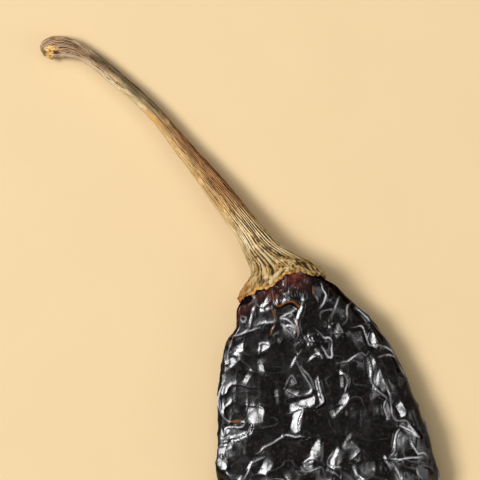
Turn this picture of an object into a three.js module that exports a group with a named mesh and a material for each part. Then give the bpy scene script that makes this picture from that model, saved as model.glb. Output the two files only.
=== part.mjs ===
// A dried chilli pepper of the broad, flat kind (a dried poblano), lying on its side as picked.
// Units are millimetres and +Z is up. The stem points to +Y and the pod's tip to -Y.
// Two grown pieces: the wrinkled pod, and the woody stem that flares into the calyx cap.
// Outlines are drawn in a plan seen from above: "across" runs along +X and "down" along -Y,
// both from a point at the middle of the neck.
import * as THREE from 'three';

// Driving dimensions of the two pieces.
const POD_RINGS = 76;
const POD_SIDES = 72;
const STEM_RINGS = 66;
const STEM_SIDES = 36;
const NECK_GAP = 0.4;
const CUP_DEPTH = 1.4;
const REST_SPOT_RADIUS = 7;
const REST_SPOT = { across: 12, down: 55 };

// The pod's sections. "at" is the distance down to the section's middle, "lean" and "pitch" turn
// the section in plan and towards the stem (degrees), left, right, top and bottom are its reaches.
const POD_SECTIONS = [
  { at: 1.8, across: 0.3, mid: 10.0, lean: 17, pitch: 23, left: 9.6, right: 9.6, top: 6.9, bottom: 6.7 },
  { at: 5.0, across: 1.8, mid: 9.8, lean: 17, pitch: 19, left: 12.8, right: 12.5, top: 6.9, bottom: 8.0 },
  { at: 8.8, across: 3.3, mid: 9.2, lean: 16, pitch: 13, left: 16.0, right: 14.3, top: 6.6, bottom: 8.5 },
  { at: 13.0, across: 4.8, mid: 8.6, lean: 15, pitch: 7, left: 19.8, right: 17.5, top: 6.2, bottom: 8.5 },
  { at: 18.0, across: 6.3, mid: 8.1, lean: 14, pitch: 3, left: 21.8, right: 19.8, top: 5.9, bottom: 8.3 },
  { at: 23.8, across: 7.8, mid: 7.8, lean: 12, pitch: 0, left: 23.8, right: 21.8, top: 5.7, bottom: 8.0 },
  { at: 30.5, across: 9.3, mid: 7.6, lean: 10, pitch: 0, left: 25.0, right: 23.0, top: 5.6, bottom: 7.8 },
  { at: 38.0, across: 10.8, mid: 7.5, lean: 8, pitch: 0, left: 26.8, right: 25.0, top: 5.6, bottom: 7.7 },
  { at: 46.3, across: 12.0, mid: 7.4, lean: 7, pitch: 0, left: 28.3, right: 26.5, top: 5.5, bottom: 7.6 },
  { at: 55.0, across: 13.3, mid: 7.3, lean: 6, pitch: 0, left: 29.3, right: 27.8, top: 5.5, bottom: 7.5 },
  { at: 65.0, across: 14.5, mid: 7.2, lean: 5, pitch: 0, left: 29.0, right: 28.0, top: 5.4, bottom: 7.4 },
  { at: 76.3, across: 15.5, mid: 7.0, lean: 4, pitch: 0, left: 27.0, right: 26.5, top: 5.2, bottom: 7.2 },
  { at: 87.5, across: 16.3, mid: 6.7, lean: 3, pitch: 0, left: 23.5, right: 23.5, top: 4.9, bottom: 6.8 },
  { at: 98.8, across: 16.8, mid: 6.3, lean: 2, pitch: 0, left: 18.5, right: 18.5, top: 4.4, bottom: 6.1 },
  { at: 108.0, across: 17.0, mid: 5.9, lean: 1, pitch: 0, left: 13.0, right: 12.5, top: 3.8, bottom: 5.0 },
  { at: 115.0, across: 17.0, mid: 5.5, lean: 0, pitch: 0, left: 7.3, right: 7.0, top: 2.9, bottom: 3.5 },
  { at: 119.0, across: 16.8, mid: 5.2, lean: 0, pitch: 0, left: 1.2, right: 1.2, top: 0.8, bottom: 0.8 },
];

// The stem's sections from the hooked, broken end to the rim of the calyx: the two side lines in
// plan [across, down], the height of the middle, the half thickness and the pitch in degrees.
const STEM_SECTIONS = [
  { left: [-57.2, -55.2], right: [-59.4, -56.4], mid: 3.0, half: 1.2, pitch: 0 },
  { left: [-56.6, -55.8], right: [-60.4, -58.5], mid: 3.0, half: 2.0, pitch: 0 },
  { left: [-55.8, -55.9], right: [-59.2, -60.4], mid: 3.1, half: 2.5, pitch: 0 },
  { left: [-54.5, -55.8], right: [-56.2, -61.4], mid: 3.1, half: 2.5, pitch: 0 },
  { left: [-53.2, -55.8], right: [-52.2, -60.7], mid: 3.2, half: 2.3, pitch: 1 },
  { left: [-50.0, -55.1], right: [-48.5, -58.6], mid: 3.3, half: 1.8, pitch: 2 },
  { left: [-46.5, -52.7], right: [-44.2, -55.5], mid: 3.5, half: 1.75, pitch: 3 },
  { left: [-41.5, -48.5], right: [-39.0, -51.2], mid: 3.8, half: 1.8, pitch: 3 },
  { left: [-36.8, -44.6], right: [-34.0, -46.8], mid: 4.1, half: 1.8, pitch: 3 },
  { left: [-32.0, -39.8], right: [-29.0, -41.8], mid: 4.4, half: 1.85, pitch: 4 },
  { left: [-27.1, -33.2], right: [-23.4, -35.4], mid: 4.9, half: 2.1, pitch: 5 },
  { left: [-22.4, -27.1], right: [-18.2, -29.8], mid: 5.5, half: 2.4, pitch: 6 },
  { left: [-17.8, -20.4], right: [-12.9, -23.9], mid: 6.2, half: 2.9, pitch: 8 },
  { left: [-13.8, -14.8], right: [-8.0, -17.9], mid: 7.0, half: 3.2, pitch: 11 },
  { left: [-10.5, -9.9], right: [-3.8, -12.9], mid: 7.8, half: 3.6, pitch: 14 },
  { left: [-8.5, -5.1], right: [0.0, -9.1], mid: 8.6, half: 4.5, pitch: 18 },
  { left: [-7.4, -1.5], right: [4.0, -6.6], mid: 9.2, half: 5.6, pitch: 21 },
  { left: [-8.5, 1.0], right: [7.8, -4.6], mid: 9.7, half: 6.9, pitch: 23 },
  { left: [-9.9, 2.6], right: [10.1, -3.2], mid: 9.9, half: 7.9, pitch: 24 },
  { left: [-11.0, 5.0], right: [11.5, -1.9], mid: 10.0, half: 8.5, pitch: 24 },
];

// Folds on the upper face near the stem, each a crest line in plan. "rise" is the crest's height,
// and the ground falls away quickly on the "steep" side (1 or -1) and slowly on the other.
const FOLDS = [
  { rise: 2.4, steep: 1, line: [[4, 19.5], [5, 22.1], [7.4, 25.8], [8, 27.1], [7, 28.2], [4.8, 28.8], [1.1, 27.1]] },
  { rise: 2.2, steep: -1, line: [[21.9, 19.3], [22.7, 21.5], [22.7, 24.7], [23.5, 26.8], [26.4, 29.2]] },
  { rise: 2.0, steep: 1, line: [[25.9, 24.5], [27, 28.4], [27.9, 33.9], [28.8, 34.9], [31.5, 35], [34.6, 39]] },
  { rise: 2.0, steep: 1, line: [[29.6, 37.2], [28.6, 39.5], [28.4, 42.4], [27, 44.3]] },
  { rise: 1.8, steep: -1, line: [[27, 44.3], [30, 44.6], [35.3, 43.9]] },
  { rise: 1.6, steep: 1, line: [[27.4, 45], [29.1, 47.2], [30.3, 50]] },
  { rise: 1.8, steep: 1, line: [[17.8, 11.9], [20.4, 11.5], [21.3, 13.5], [21.7, 15.1], [24.6, 16.2], [27, 16.9], [29, 19.3]] },
  { rise: 1.7, steep: -1, line: [[14.6, 20.5], [17.4, 19.6], [20, 18.2], [21.3, 18.8], [24.3, 19]] },
  { rise: 1.8, steep: 1, line: [[15, 23.3], [15.2, 27.7], [14.6, 28.4]] },
  { rise: 2.0, steep: 1, line: [[-1.9, 1.4], [-1.6, 5.2], [-0.3, 6.5], [1.3, 5.5], [3.2, 5.2], [4.8, 6.6]] },
  { rise: 2.0, steep: -1, line: [[6.1, 4.7], [5.3, 5.8], [4.4, 9], [3.9, 10.9], [4.5, 12.2], [3.9, 14.6]] },
  { rise: 1.9, steep: 1, line: [[-0.9, 10.4], [-4, 10.8], [-8, 12.5], [-11.8, 14]] },
  { rise: 1.5, steep: -1, line: [[-5.4, 5.2], [-6.3, 8], [-7.9, 11.8]] },
  { rise: 1.9, steep: 1, line: [[-12, 15], [-13.7, 22.8], [-15.3, 29.3], [-15.1, 31.5], [-13.5, 34.7], [-8.3, 35.2]] },
  { rise: 1.6, steep: 1, line: [[-15.3, 40.4], [-12, 39.2], [-8.3, 38.1], [-7.3, 36.5]] },
  { rise: 1.6, steep: -1, line: [[1, 26.8], [2.8, 23.9], [4.2, 25.6]] },
  { rise: 1.9, steep: -1, line: [[1.2, 38.5], [-3.9, 41.8], [-6.7, 45.4], [-9.6, 50]] },
  { rise: 1.8, steep: 1, line: [[1.2, 38.4], [3, 38.7], [6.1, 39]] },
  { rise: 1.7, steep: 1, line: [[2.3, 33.1], [5.5, 31.9], [4.8, 35.5], [4.5, 37.9]] },
  { rise: 1.8, steep: 1, line: [[7.8, 23.9], [9, 25.6], [9.8, 27.1], [10.4, 30.3]] },
  { rise: 1.6, steep: 1, line: [[10, 0.7], [10.5, 2.3], [11.4, 3.9], [9.7, 6.9]] },
  { rise: 1.7, steep: -1, line: [[17.7, 5.5], [16.6, 6.4], [16.7, 9.8], [15.6, 11.3]] },
  { rise: 1.6, steep: 1, line: [[8.9, 12.2], [10.8, 14.3], [12.7, 14.6], [12.7, 19]] },
  { rise: 1.6, steep: -1, line: [[13.4, 33.5], [16.2, 31.2], [17.1, 28.4]] },
  { rise: 1.7, steep: 1, line: [[13, 38.7], [15, 37.4], [17.5, 42], [19, 44]] },
  { rise: 1.7, steep: 1, line: [[5.9, 45.6], [8, 44.3], [10.2, 46.6], [11.3, 48.5]] },
];

// The sunken channel that runs down the middle of the upper face, in plan.
const CHANNEL = { depth: 2.2, width: 3.2, line: [[5.8, 4], [7.6, 12], [9.6, 20], [12, 30], [11, 40], [11.5, 50]] };

// The net of wrinkles over the rest of the skin: one seed point for each sunken patch.
const NET = { rows: 13, columns: 13, rise: 2.4, tilt: 0.25, fade: 2.2 };

const FOLD_REACH = { steep: 1.3, gentle: 3.2 };
const FOLDS_END = { from: 46, to: 52 };

// The pod has dried flat: its faces are level in the middle and turn over tightly at the sides.
const FLATNESS = { top: { level: 4.5, turn: 0.9 }, bottom: { level: 2.6, turn: 0.6 } };

// The wrinkles grow lower where the pod narrows to its tip: half widths and the least share kept.
const CALM = { narrow: 6, wide: 22, least: 0.3 };

const rad = THREE.MathUtils.degToRad;
const mix = THREE.MathUtils.lerp;
const smooth = THREE.MathUtils.smoothstep;

// A repeatable number from 0 to 1 for a whole number n.
function chance(n) {
  const x = Math.sin(n * 12.9898 + 4.1414) * 43758.5453;
  return x - Math.floor(x);
}

// A smooth curve through values at rising knots, read at s.
function through(knots, values, s) {
  const last = knots.length - 1;
  let i = 0;
  while (i < last - 1 && s > knots[i + 1]) i += 1;
  const slope = (k) => {
    const a = Math.max(k - 1, 0);
    const b = Math.min(k + 1, last);
    return (values[b] - values[a]) / (knots[b] - knots[a]);
  };
  const width = knots[i + 1] - knots[i];
  const u = THREE.MathUtils.clamp((s - knots[i]) / width, 0, 1);
  const rise = (values[i + 1] - values[i]) * u * u * (3 - 2 * u);
  const start = u * (1 - u) ** 2 * width * slope(i);
  const end = u * u * (u - 1) * width * slope(i + 1);
  return values[i] + rise + start + end;
}

// The axes of a section leaning in plan and pitched towards the stem.
function sectionAxes(lean, pitch) {
  const right = new THREE.Vector3(Math.cos(lean), Math.sin(lean), 0);
  const ahead = new THREE.Vector3(-Math.sin(lean), Math.cos(lean), 0);
  const up = ahead.clone().multiplyScalar(Math.sin(pitch)).add(new THREE.Vector3(0, 0, Math.cos(pitch)));
  const along = new THREE.Vector3().crossVectors(up, right);
  return { right, up, along };
}

const podKnots = POD_SECTIONS.map((section) => section.at);
const podValue = (key, at) => through(podKnots, POD_SECTIONS.map((section) => section[key]), at);

// The pod's smooth form without wrinkles: a point and its outward normal.
function podForm(at, angle) {
  const { right, up } = sectionAxes(rad(podValue('lean', at)), rad(podValue('pitch', at)));
  const cos = Math.cos(angle);
  const sin = Math.sin(angle);
  const width = cos > 0 ? podValue('right', at) : podValue('left', at);
  const height = sin > 0 ? podValue('top', at) : podValue('bottom', at);
  const out = Math.abs(cos) ** 0.9;
  const sideways = Math.sign(cos) * out * width;
  const { level, turn } = sin > 0 ? FLATNESS.top : FLATNESS.bottom;
  const upwards = Math.sign(sin) * (1 - out ** level) ** turn * height;
  const point = new THREE.Vector3(podValue('across', at), -at, podValue('mid', at))
    .addScaledVector(right, sideways)
    .addScaledVector(up, upwards);
  const normal = right.clone().multiplyScalar(cos * height).addScaledVector(up, sin * width).normalize();
  return { point, normal };
}

// Distance from a plan point to a line of points, with the side it lies on and the share along it.
function nearest(line, across, down) {
  let best = { distance: Infinity, side: 1, share: 0 };
  for (let i = 0; i < line.length - 1; i += 1) {
    const [ax, ay] = line[i];
    const dx = line[i + 1][0] - ax;
    const dy = line[i + 1][1] - ay;
    const u = THREE.MathUtils.clamp(((across - ax) * dx + (down - ay) * dy) / (dx * dx + dy * dy), 0, 1);
    const ox = across - ax - u * dx;
    const oy = down - ay - u * dy;
    const distance = Math.hypot(ox, oy);
    if (distance < best.distance) {
      best = { distance, side: Math.sign(dx * oy - dy * ox), share: (i + u) / (line.length - 1) };
    }
  }
  return best;
}

// Height of the folds near the stem at a plan point.
function foldRelief(across, down) {
  let height = 0;
  for (const { rise, steep, line } of FOLDS) {
    const { distance, side, share } = nearest(line, across, down);
    const reach = side === steep ? FOLD_REACH.steep : FOLD_REACH.gentle;
    const ends = 0.55 + 0.45 * Math.sin(Math.PI * share);
    height = Math.max(height, rise * ends * Math.exp(-distance / reach));
  }
  const channel = nearest(CHANNEL.line, across, down);
  return height - CHANNEL.depth * Math.exp(-((channel.distance / CHANNEL.width) ** 2));
}

// Seed points of the net, one in each cell of a shaken grid over the pod.
const netSeeds = [];
for (let row = 0; row < NET.rows; row += 1) {
  for (let column = 0; column < NET.columns; column += 1) {
    const n = row * NET.columns + column;
    const at = 4 + ((row + 0.15 + 0.7 * chance(3 * n)) / NET.rows) * 113;
    const angle = ((column + 0.15 + 0.7 * chance(3 * n + 1)) / NET.columns) * 2 * Math.PI;
    netSeeds.push({ point: podForm(at, angle).point, number: n });
  }
}

// Height of the net of wrinkles at a point of the skin: ridges where two patches meet.
function netRelief(point) {
  const bent = point.clone();
  bent.x += 1.5 * Math.sin(0.33 * point.y + 0.21 * point.z);
  bent.y += 1.5 * Math.sin(0.29 * point.x + 0.4 * point.z + 1);
  const near = netSeeds
    .map(({ point: seed, number }) => ({ seed, number, distance: bent.distanceTo(seed) }))
    .sort((a, b) => a.distance - b.distance);
  const [first, second] = near;
  const span = first.seed.distanceTo(second.seed);
  const edge = (second.distance ** 2 - first.distance ** 2) / (2 * span);
  const strength = 0.35 + 0.65 * chance(first.number * 7 + second.number * 7 + 5);
  const slope = new THREE.Vector3(
    chance(first.number * 5) - 0.5,
    chance(first.number * 5 + 1) - 0.5,
    chance(first.number * 5 + 2) - 0.5,
  );
  const panel = NET.tilt * 2 * bent.clone().sub(first.seed).dot(slope) * (1 - Math.exp(-edge / 1.5));
  return NET.rise * strength * Math.exp(-edge / NET.fade) + panel;
}

// Broad swells and hollows of the whole skin.
function swell(point) {
  return 0.7 * Math.sin(0.21 * point.x + 0.12 * point.y + 1.3) * Math.sin(0.17 * point.y - 0.1 * point.x + 0.4);
}

// The finished skin: the form, raised into folds, and flat where it rests on the surface.
function podSkin(at, angle) {
  const { point, normal } = podForm(at, angle);
  const down = -point.y;
  const upper = smooth(Math.sin(angle), -0.05, 0.3) * (1 - smooth(down, FOLDS_END.from, FOLDS_END.to));
  const relief = mix(netRelief(point), foldRelief(point.x, down), upper);
  const fade = smooth(at, 2, 6) * mix(CALM.least, 1, smooth(podValue('left', at), CALM.narrow, CALM.wide));
  const skin = point.clone().addScaledVector(normal, (relief - 1.1 + swell(point)) * mix(0.2, 1, fade));
  const fromSpot = Math.hypot(point.x - REST_SPOT.across, down - REST_SPOT.down);
  if (Math.sin(angle) < 0) skin.z = Math.min(skin.z, mix(-0.5, 8, smooth(fromSpot, REST_SPOT_RADIUS, 40)));
  skin.z = Math.max(skin.z, 0);
  return skin;
}

// The angle round a section at an even share of its girth, for a section of ordinary flatness.
const girthAngles = (() => {
  const steps = 720;
  const sums = [0];
  const at = 40;
  let last = podForm(at, 0).point;
  for (let i = 1; i <= steps; i += 1) {
    const next = podForm(at, (i / steps) * 2 * Math.PI).point;
    sums.push(sums[i - 1] + next.distanceTo(last));
    last = next;
  }
  return (share) => {
    const goal = share * sums[steps];
    let i = 0;
    while (i < steps - 1 && sums[i + 1] < goal) i += 1;
    return ((i + (goal - sums[i]) / (sums[i + 1] - sums[i])) / steps) * 2 * Math.PI;
  };
})();

// Closed skin over rings of equal length, with a lone point at each end. The quads are split along
// the diagonal that stands higher, so that crests stay sharp.
function skinGeometry(firstPole, rings, lastPole, crestOf) {
  const sides = rings[0].length;
  const points = [firstPole, ...rings.flat(), lastPole];
  const faces = [];
  const at = (ring, side) => 1 + ring * sides + ((side + sides) % sides);
  for (let side = 0; side < sides; side += 1) {
    faces.push([0, at(0, side + 1), at(0, side)]);
    faces.push([points.length - 1, at(rings.length - 1, side), at(rings.length - 1, side + 1)]);
    for (let ring = 0; ring < rings.length - 1; ring += 1) {
      const [a, b, c, d] = [at(ring, side), at(ring + 1, side), at(ring + 1, side + 1), at(ring, side + 1)];
      if (crestOf(points[a], points[c]) > crestOf(points[b], points[d])) faces.push([a, c, b], [a, d, c]);
      else faces.push([a, d, b], [b, d, c]);
    }
  }
  const geometry = new THREE.BufferGeometry();
  geometry.setAttribute('position', new THREE.Float32BufferAttribute(points.flatMap((p) => p.toArray()), 3));
  geometry.setIndex(faces.flat());
  geometry.computeVertexNormals();
  return geometry;
}

function makePod(neckCentre, neckAlong) {
  const rings = [];
  const first = podKnots[0];
  const length = podKnots[podKnots.length - 1] - first;
  for (let ring = 0; ring < POD_RINGS; ring += 1) {
    const at = first + (length * ring) / (POD_RINGS - 1);
    rings.push(Array.from({ length: POD_SIDES }, (_, side) => podSkin(at, girthAngles(side / POD_SIDES))));
  }
  const top = neckCentre.clone().addScaledVector(neckAlong, CUP_DEPTH - NECK_GAP);
  const tip = new THREE.Vector3(POD_SECTIONS.at(-1).across, -podKnots.at(-1) - 0.6, POD_SECTIONS.at(-1).mid);
  const heart = (p) => Math.hypot(p.x - podValue('across', -p.y), p.z - podValue('mid', -p.y));
  return skinGeometry(top, rings, tip, (a, b) => heart(a) + heart(b) - 0.2 * a.distanceTo(b));
}

// One section of the stem: its centre, axes and reaches.
function stemSection(share) {
  const knots = STEM_SECTIONS.map((_, i) => i);
  const s = share * (STEM_SECTIONS.length - 1);
  const value = (read) => through(knots, STEM_SECTIONS.map(read), s);
  const left = new THREE.Vector2(value((x) => x.left[0]), -value((x) => x.left[1]));
  const right = new THREE.Vector2(value((x) => x.right[0]), -value((x) => x.right[1]));
  const centre = left.clone().add(right).multiplyScalar(0.5);
  const lean = Math.atan2(right.y - left.y, right.x - left.x);
  return {
    centre: new THREE.Vector3(centre.x, centre.y, value((x) => x.mid)),
    axes: sectionAxes(lean, rad(value((x) => x.pitch))),
    wide: left.distanceTo(right) / 2,
    half: value((x) => x.half),
    share,
  };
}

// A ring of points round a stem section, with the ribs of the dried wood and the calyx's ragged rim.
function stemRing({ centre, axes, wide, half, share }, scale = 1, inwards = 0) {
  const ribs = 0.06 * (1 - smooth(share, 0.86, 1)) * smooth(share, 0.05, 0.2);
  const ragged = smooth(share, 0.9, 1);
  return Array.from({ length: STEM_SIDES }, (_, side) => {
    const angle = (side / STEM_SIDES) * 2 * Math.PI;
    const rib = 1 + ribs * Math.cos(9 * angle + 5 * share) + ribs * 0.5 * Math.cos(4 * angle - 9 * share);
    const rag = 1 + ragged * (0.03 * Math.sin(5 * angle + 1) + 0.025 * Math.sin(11 * angle));
    return centre
      .clone()
      .addScaledVector(axes.right, Math.cos(angle) * wide * rib * rag * scale)
      .addScaledVector(axes.up, Math.sin(angle) * half * rib * rag * scale)
      .addScaledVector(axes.along, inwards);
  });
}

function makeStem() {
  const rings = [];
  for (let ring = 0; ring < STEM_RINGS; ring += 1) {
    rings.push(stemRing(stemSection(ring / (STEM_RINGS - 1))));
  }
  const rim = stemSection(1);
  for (const scale of [0.93, 0.75, 0.4]) {
    rings.push(stemRing(rim, scale, CUP_DEPTH * (1 - scale * scale)));
  }
  const firstPole = stemSection(0).centre.clone().addScaledVector(stemSection(0).axes.along, 0.2);
  const lastPole = rim.centre.clone().addScaledVector(rim.axes.along, CUP_DEPTH);
  const crest = (a, b) => -a.distanceTo(b);
  return { geometry: skinGeometry(firstPole, rings, lastPole, crest), rim };
}

const podMaterial = new THREE.MeshStandardMaterial({ color: 0x1c1412, roughness: 0.3, metalness: 0 });
const stemMaterial = new THREE.MeshStandardMaterial({ color: 0x8f7443, roughness: 0.75, metalness: 0 });

const { geometry: stemShape, rim } = makeStem();
const stem = new THREE.Mesh(stemShape, stemMaterial);
stem.name = 'stem_with_calyx';

const pod = new THREE.Mesh(makePod(rim.centre, rim.axes.along), podMaterial);
pod.name = 'pod';

const chilli = new THREE.Group();
chilli.add(pod, stem);

// The origin goes to the middle of the bottom of the whole chilli's box.
const box = new THREE.Box3().setFromObject(chilli);
const middle = box.getCenter(new THREE.Vector3());
for (const piece of [pod, stem]) piece.position.set(-middle.x, -middle.y, -box.min.z);

export default chilli;
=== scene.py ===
"""A dried chilli pepper on a pale surface: the wrinkled pod, and the woody stem with its calyx."""

import math

import bpy
import numpy as np
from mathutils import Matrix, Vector


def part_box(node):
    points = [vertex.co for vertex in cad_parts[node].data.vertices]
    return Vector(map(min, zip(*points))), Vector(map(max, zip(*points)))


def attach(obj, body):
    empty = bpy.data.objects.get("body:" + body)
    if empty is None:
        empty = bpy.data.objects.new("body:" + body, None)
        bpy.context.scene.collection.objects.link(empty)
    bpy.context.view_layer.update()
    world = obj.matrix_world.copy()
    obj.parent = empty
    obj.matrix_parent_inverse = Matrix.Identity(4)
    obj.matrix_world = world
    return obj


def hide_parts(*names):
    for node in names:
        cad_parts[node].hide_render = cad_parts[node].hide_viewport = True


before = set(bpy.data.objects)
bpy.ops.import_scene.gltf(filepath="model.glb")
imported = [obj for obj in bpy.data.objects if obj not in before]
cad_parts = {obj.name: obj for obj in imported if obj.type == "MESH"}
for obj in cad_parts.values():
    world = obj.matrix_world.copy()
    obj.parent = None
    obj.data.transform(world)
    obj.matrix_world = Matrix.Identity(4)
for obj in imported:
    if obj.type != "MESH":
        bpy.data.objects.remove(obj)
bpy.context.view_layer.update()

MM = 0.001

# The photograph: one pixel in millimetres, its middle, and the neck point that plans start from
PIXEL = 0.25
PICTURE_SIDE = 480
NECK_PIXEL = np.array([280.0, 280.0])

# The stem's farthest reach in plan: its hooked end, left of the neck and up from it
STEM_REACH = {"left": 60.381, "up": 61.49}

# The pod's sections down its axis, in millimetres and degrees from the neck point. Across and down
# are in plan, mid is the height of the middle, and the rest are reaches from that middle.
POD_SECTIONS = {
    "at": [
        1.8, 5.0, 8.8, 13.0, 18.0, 23.8, 30.5, 38.0, 46.3, 55.0, 65.0, 76.3, 87.5, 98.8, 108.0, 115.0,
        119.0,
    ],
    "across": [
        0.3, 1.8, 3.3, 4.8, 6.3, 7.8, 9.3, 10.8, 12.0, 13.3, 14.5, 15.5, 16.3, 16.8, 17.0, 17.0, 16.8,
    ],
    "mid": [10.0, 9.8, 9.2, 8.6, 8.1, 7.8, 7.6, 7.5, 7.4, 7.3, 7.2, 7.0, 6.7, 6.3, 5.9, 5.5, 5.2],
    "lean": [17, 17, 16, 15, 14, 12, 10, 8, 7, 6, 5, 4, 3, 2, 1, 0, 0],
    "pitch": [23, 19, 13, 7, 3, 0, 0, 0, 0, 0, 0, 0, 0, 0, 0, 0, 0],
    "left": [
        9.6, 12.8, 16.0, 19.8, 21.8, 23.8, 25.0, 26.8, 28.3, 29.3, 29.0, 27.0, 23.5, 18.5, 13.0, 7.3, 1.2,
    ],
    "right": [
        9.6, 12.5, 14.3, 17.5, 19.8, 21.8, 23.0, 25.0, 26.5, 27.8, 28.0, 26.5, 23.5, 18.5, 12.5, 7.0, 1.2,
    ],
    "top": [6.9, 6.9, 6.6, 6.2, 5.9, 5.7, 5.6, 5.6, 5.5, 5.5, 5.4, 5.2, 4.9, 4.4, 3.8, 2.9, 0.8],
    "bottom": [6.7, 8.0, 8.5, 8.5, 8.3, 8.0, 7.8, 7.7, 7.6, 7.5, 7.4, 7.2, 6.8, 6.1, 5.0, 3.5, 0.8],
}

# Crest lines of the folds on the upper face: the rise in millimetres, the side that falls away
# steeply (1 or -1, 0 for neither), and the points in pixels of the photograph.
CRESTS = [
    (1.6, 0, [(258, 301), (255, 312), (248, 327)]),
    (1.4, 0, [(276, 321), (264, 323), (255, 326)]),
    (1.6, 0, [(260, 328), (248, 330), (240, 334.5), (233, 336)]),
    (1.5, 0, [(232, 340), (225, 364)]),
    (1.2, 0, [(231, 354), (240.6, 355.5)]),
    (1.4, 0, [(258.5, 353), (260.4, 343.4), (263.6, 342.2), (270, 344)]),
    (1.6, 0, [(225, 371), (222.8, 383), (218.9, 397), (219.6, 406), (226, 419), (247, 421)]),
    (1.5, -1, [(224.7, 433.5), (225.3, 428.4), (229, 426), (242, 426.5), (246.4, 422)]),
    (1.4, -1, [(250.8, 426), (247, 432.3), (232.3, 436.7), (228, 435.5), (219, 441.8)]),
    (1.2, 0, [(248, 398.5), (246.4, 411)]),
    (1.4, 0, [(284, 387), (291, 375.5), (296.7, 382.5)]),
    (2.2, -1, [(296, 358), (300, 368.5), (309.6, 383), (312, 388), (308, 392.7), (299, 395), (291, 391.5),
               (284.6, 388)]),
    (1.4, 0, [(301, 366.6), (309.6, 376.8), (315.3, 388.3)]),
    (1.8, -1, [(317, 375), (319.5, 388.3), (322, 401), (316, 406)]),
    (1.7, -1, [(289, 412.5), (302, 407.4), (299, 422), (298, 431.6)]),
    (1.5, 1, [(284.6, 433.5), (292, 434.8), (304.4, 436)]),
    (1.7, -1, [(284.6, 434), (273.8, 441), (264, 447), (256, 453)]),
    (1.7, 0, [(264.7, 456.4), (253, 461.4), (247.3, 471.3), (241.5, 482)]),
    (1.7, -1, [(318.5, 438.5), (320, 447), (319.5, 455.6)]),
    (1.2, 0, [(303.7, 462), (312, 457), (318.6, 459)]),
    (1.2, 0, [(300.4, 466), (304.5, 471), (321, 466), (325.3, 474)]),
    (1.4, 0, [(332.7, 450.6), (327, 464), (339.4, 466)]),
    (1.2, 0, [(328.6, 469.7), (339.4, 475.5)]),
    (1.2, 0, [(216, 451), (221, 446), (230, 444)]),
    (1.4, 0, [(338.3, 362), (349.7, 358.3), (360, 352.6), (365, 355), (368, 351.3)]),
    (1.5, -1, [(338.9, 371.7), (344, 373.6), (347.2, 380.6), (344.6, 390.8)]),
    (1.4, 0, [(347.2, 393.4), (348.5, 397.8), (344.6, 404.8), (333.8, 413.8)]),
    (2.1, 1, [(367.6, 357), (370.8, 366), (370.8, 378.7), (374, 387), (385.5, 396.6)]),
    (2.0, -1, [(383.5, 378), (388, 393.4), (390.6, 404), (391.8, 415.7), (395, 419.5), (406, 420),
               (410.7, 426.7), (418.4, 436.2)]),
    (1.4, 0, [(386, 397), (383, 406), (389.3, 419)]),
    (1.4, 0, [(398.3, 424.7), (407.8, 428.6), (418.4, 436.2)]),
    (1.9, 1, [(398.3, 428.6), (394.4, 438), (393.5, 449.6), (387.8, 457.3)]),
    (1.5, 1, [(387.8, 457.3), (400, 458.2), (421, 455.4)]),
    (1.3, 0, [(409.8, 437), (413.6, 447.7), (417.4, 452.5), (422.2, 451.5), (427, 457.3)]),
    (1.6, 1, [(389.7, 460), (396.4, 468.8), (401, 482)]),
    (1.3, 0, [(415.5, 466), (416.5, 472.6), (422.2, 479.3)]),
    (1.4, 0, [(368.6, 332), (366.7, 338.6), (368.6, 344.4), (378.2, 344.8), (387.8, 347.7), (393.5, 353),
              (395.9, 357.3)]),
    (1.3, 0, [(395.9, 357.3), (385.8, 354.4), (377.2, 356.3)]),
    (1.8, 1, [(351.2, 327.5), (361.4, 326), (365.3, 334), (366.5, 340), (369, 344.7), (384.4, 346)]),
    (1.2, 0, [(355, 306.5), (369.7, 321)]),
    (1.4, 0, [(350.6, 302), (346, 305.8), (346.8, 319), (342.3, 325)]),
    (1.7, 0, [(320, 283), (322, 289), (325.7, 295.6), (318.7, 307.7)]),
    (1.2, 0, [(339, 295.6), (334.6, 306), (330.8, 320)]),
    (1.3, 0, [(320, 319), (320, 311), (330, 309), (332, 311), (329, 318)]),
    (1.8, 1, [(315.5, 329), (318.7, 332), (323, 337), (329, 336.4), (330.8, 341.5), (330.8, 356.2),
              (328.3, 356.8), (321.3, 346)]),
    (1.3, 0, [(301.5, 348.5), (296.4, 357.5)]),
    (1.3, 0, [(315, 348.5), (322, 357.5)]),
    (1.3, 0, [(315, 355), (306.6, 361.3)]),
    (2.2, 1, [(272.5, 285.4), (273, 295.6), (273.8, 300.7), (279, 305.8), (285.3, 302), (293, 300.7),
              (299.3, 306.5)]),
    (1.9, -1, [(304.4, 298.8), (301, 303.3), (301.8, 307), (297.4, 316), (295.5, 323.7), (298, 328.8),
               (295.5, 338.3)]),
    (1.4, 0, [(296, 307.7), (286.5, 314.7), (280, 318), (287.8, 319), (295.5, 327)]),
    (1.3, 0, [(281.4, 323), (286, 325.6), (289, 324.3), (294.8, 327.5)]),
    (1.3, 0, [(281.4, 323.7), (285.3, 328.8), (290.4, 332), (294.8, 338.3)]),
    (1.6, -1, [(272.5, 309.6), (275, 319.8), (273.8, 326), (271, 332.6)]),
    (1.3, 0, [(249, 290.5), (254.6, 298.2), (250.8, 304.5)]),
    (1.3, 0, [(254.6, 298), (259.7, 305.8), (264.8, 305.8), (270, 298.8)]),
    (1.1, 0, [(242.5, 314.7), (241.3, 321), (245, 321.8), (247.6, 317.3), (242.5, 314.7)]),
    (1.5, 1, [(312.3, 286.7), (313, 293), (317.4, 300.7)]),
]

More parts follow.
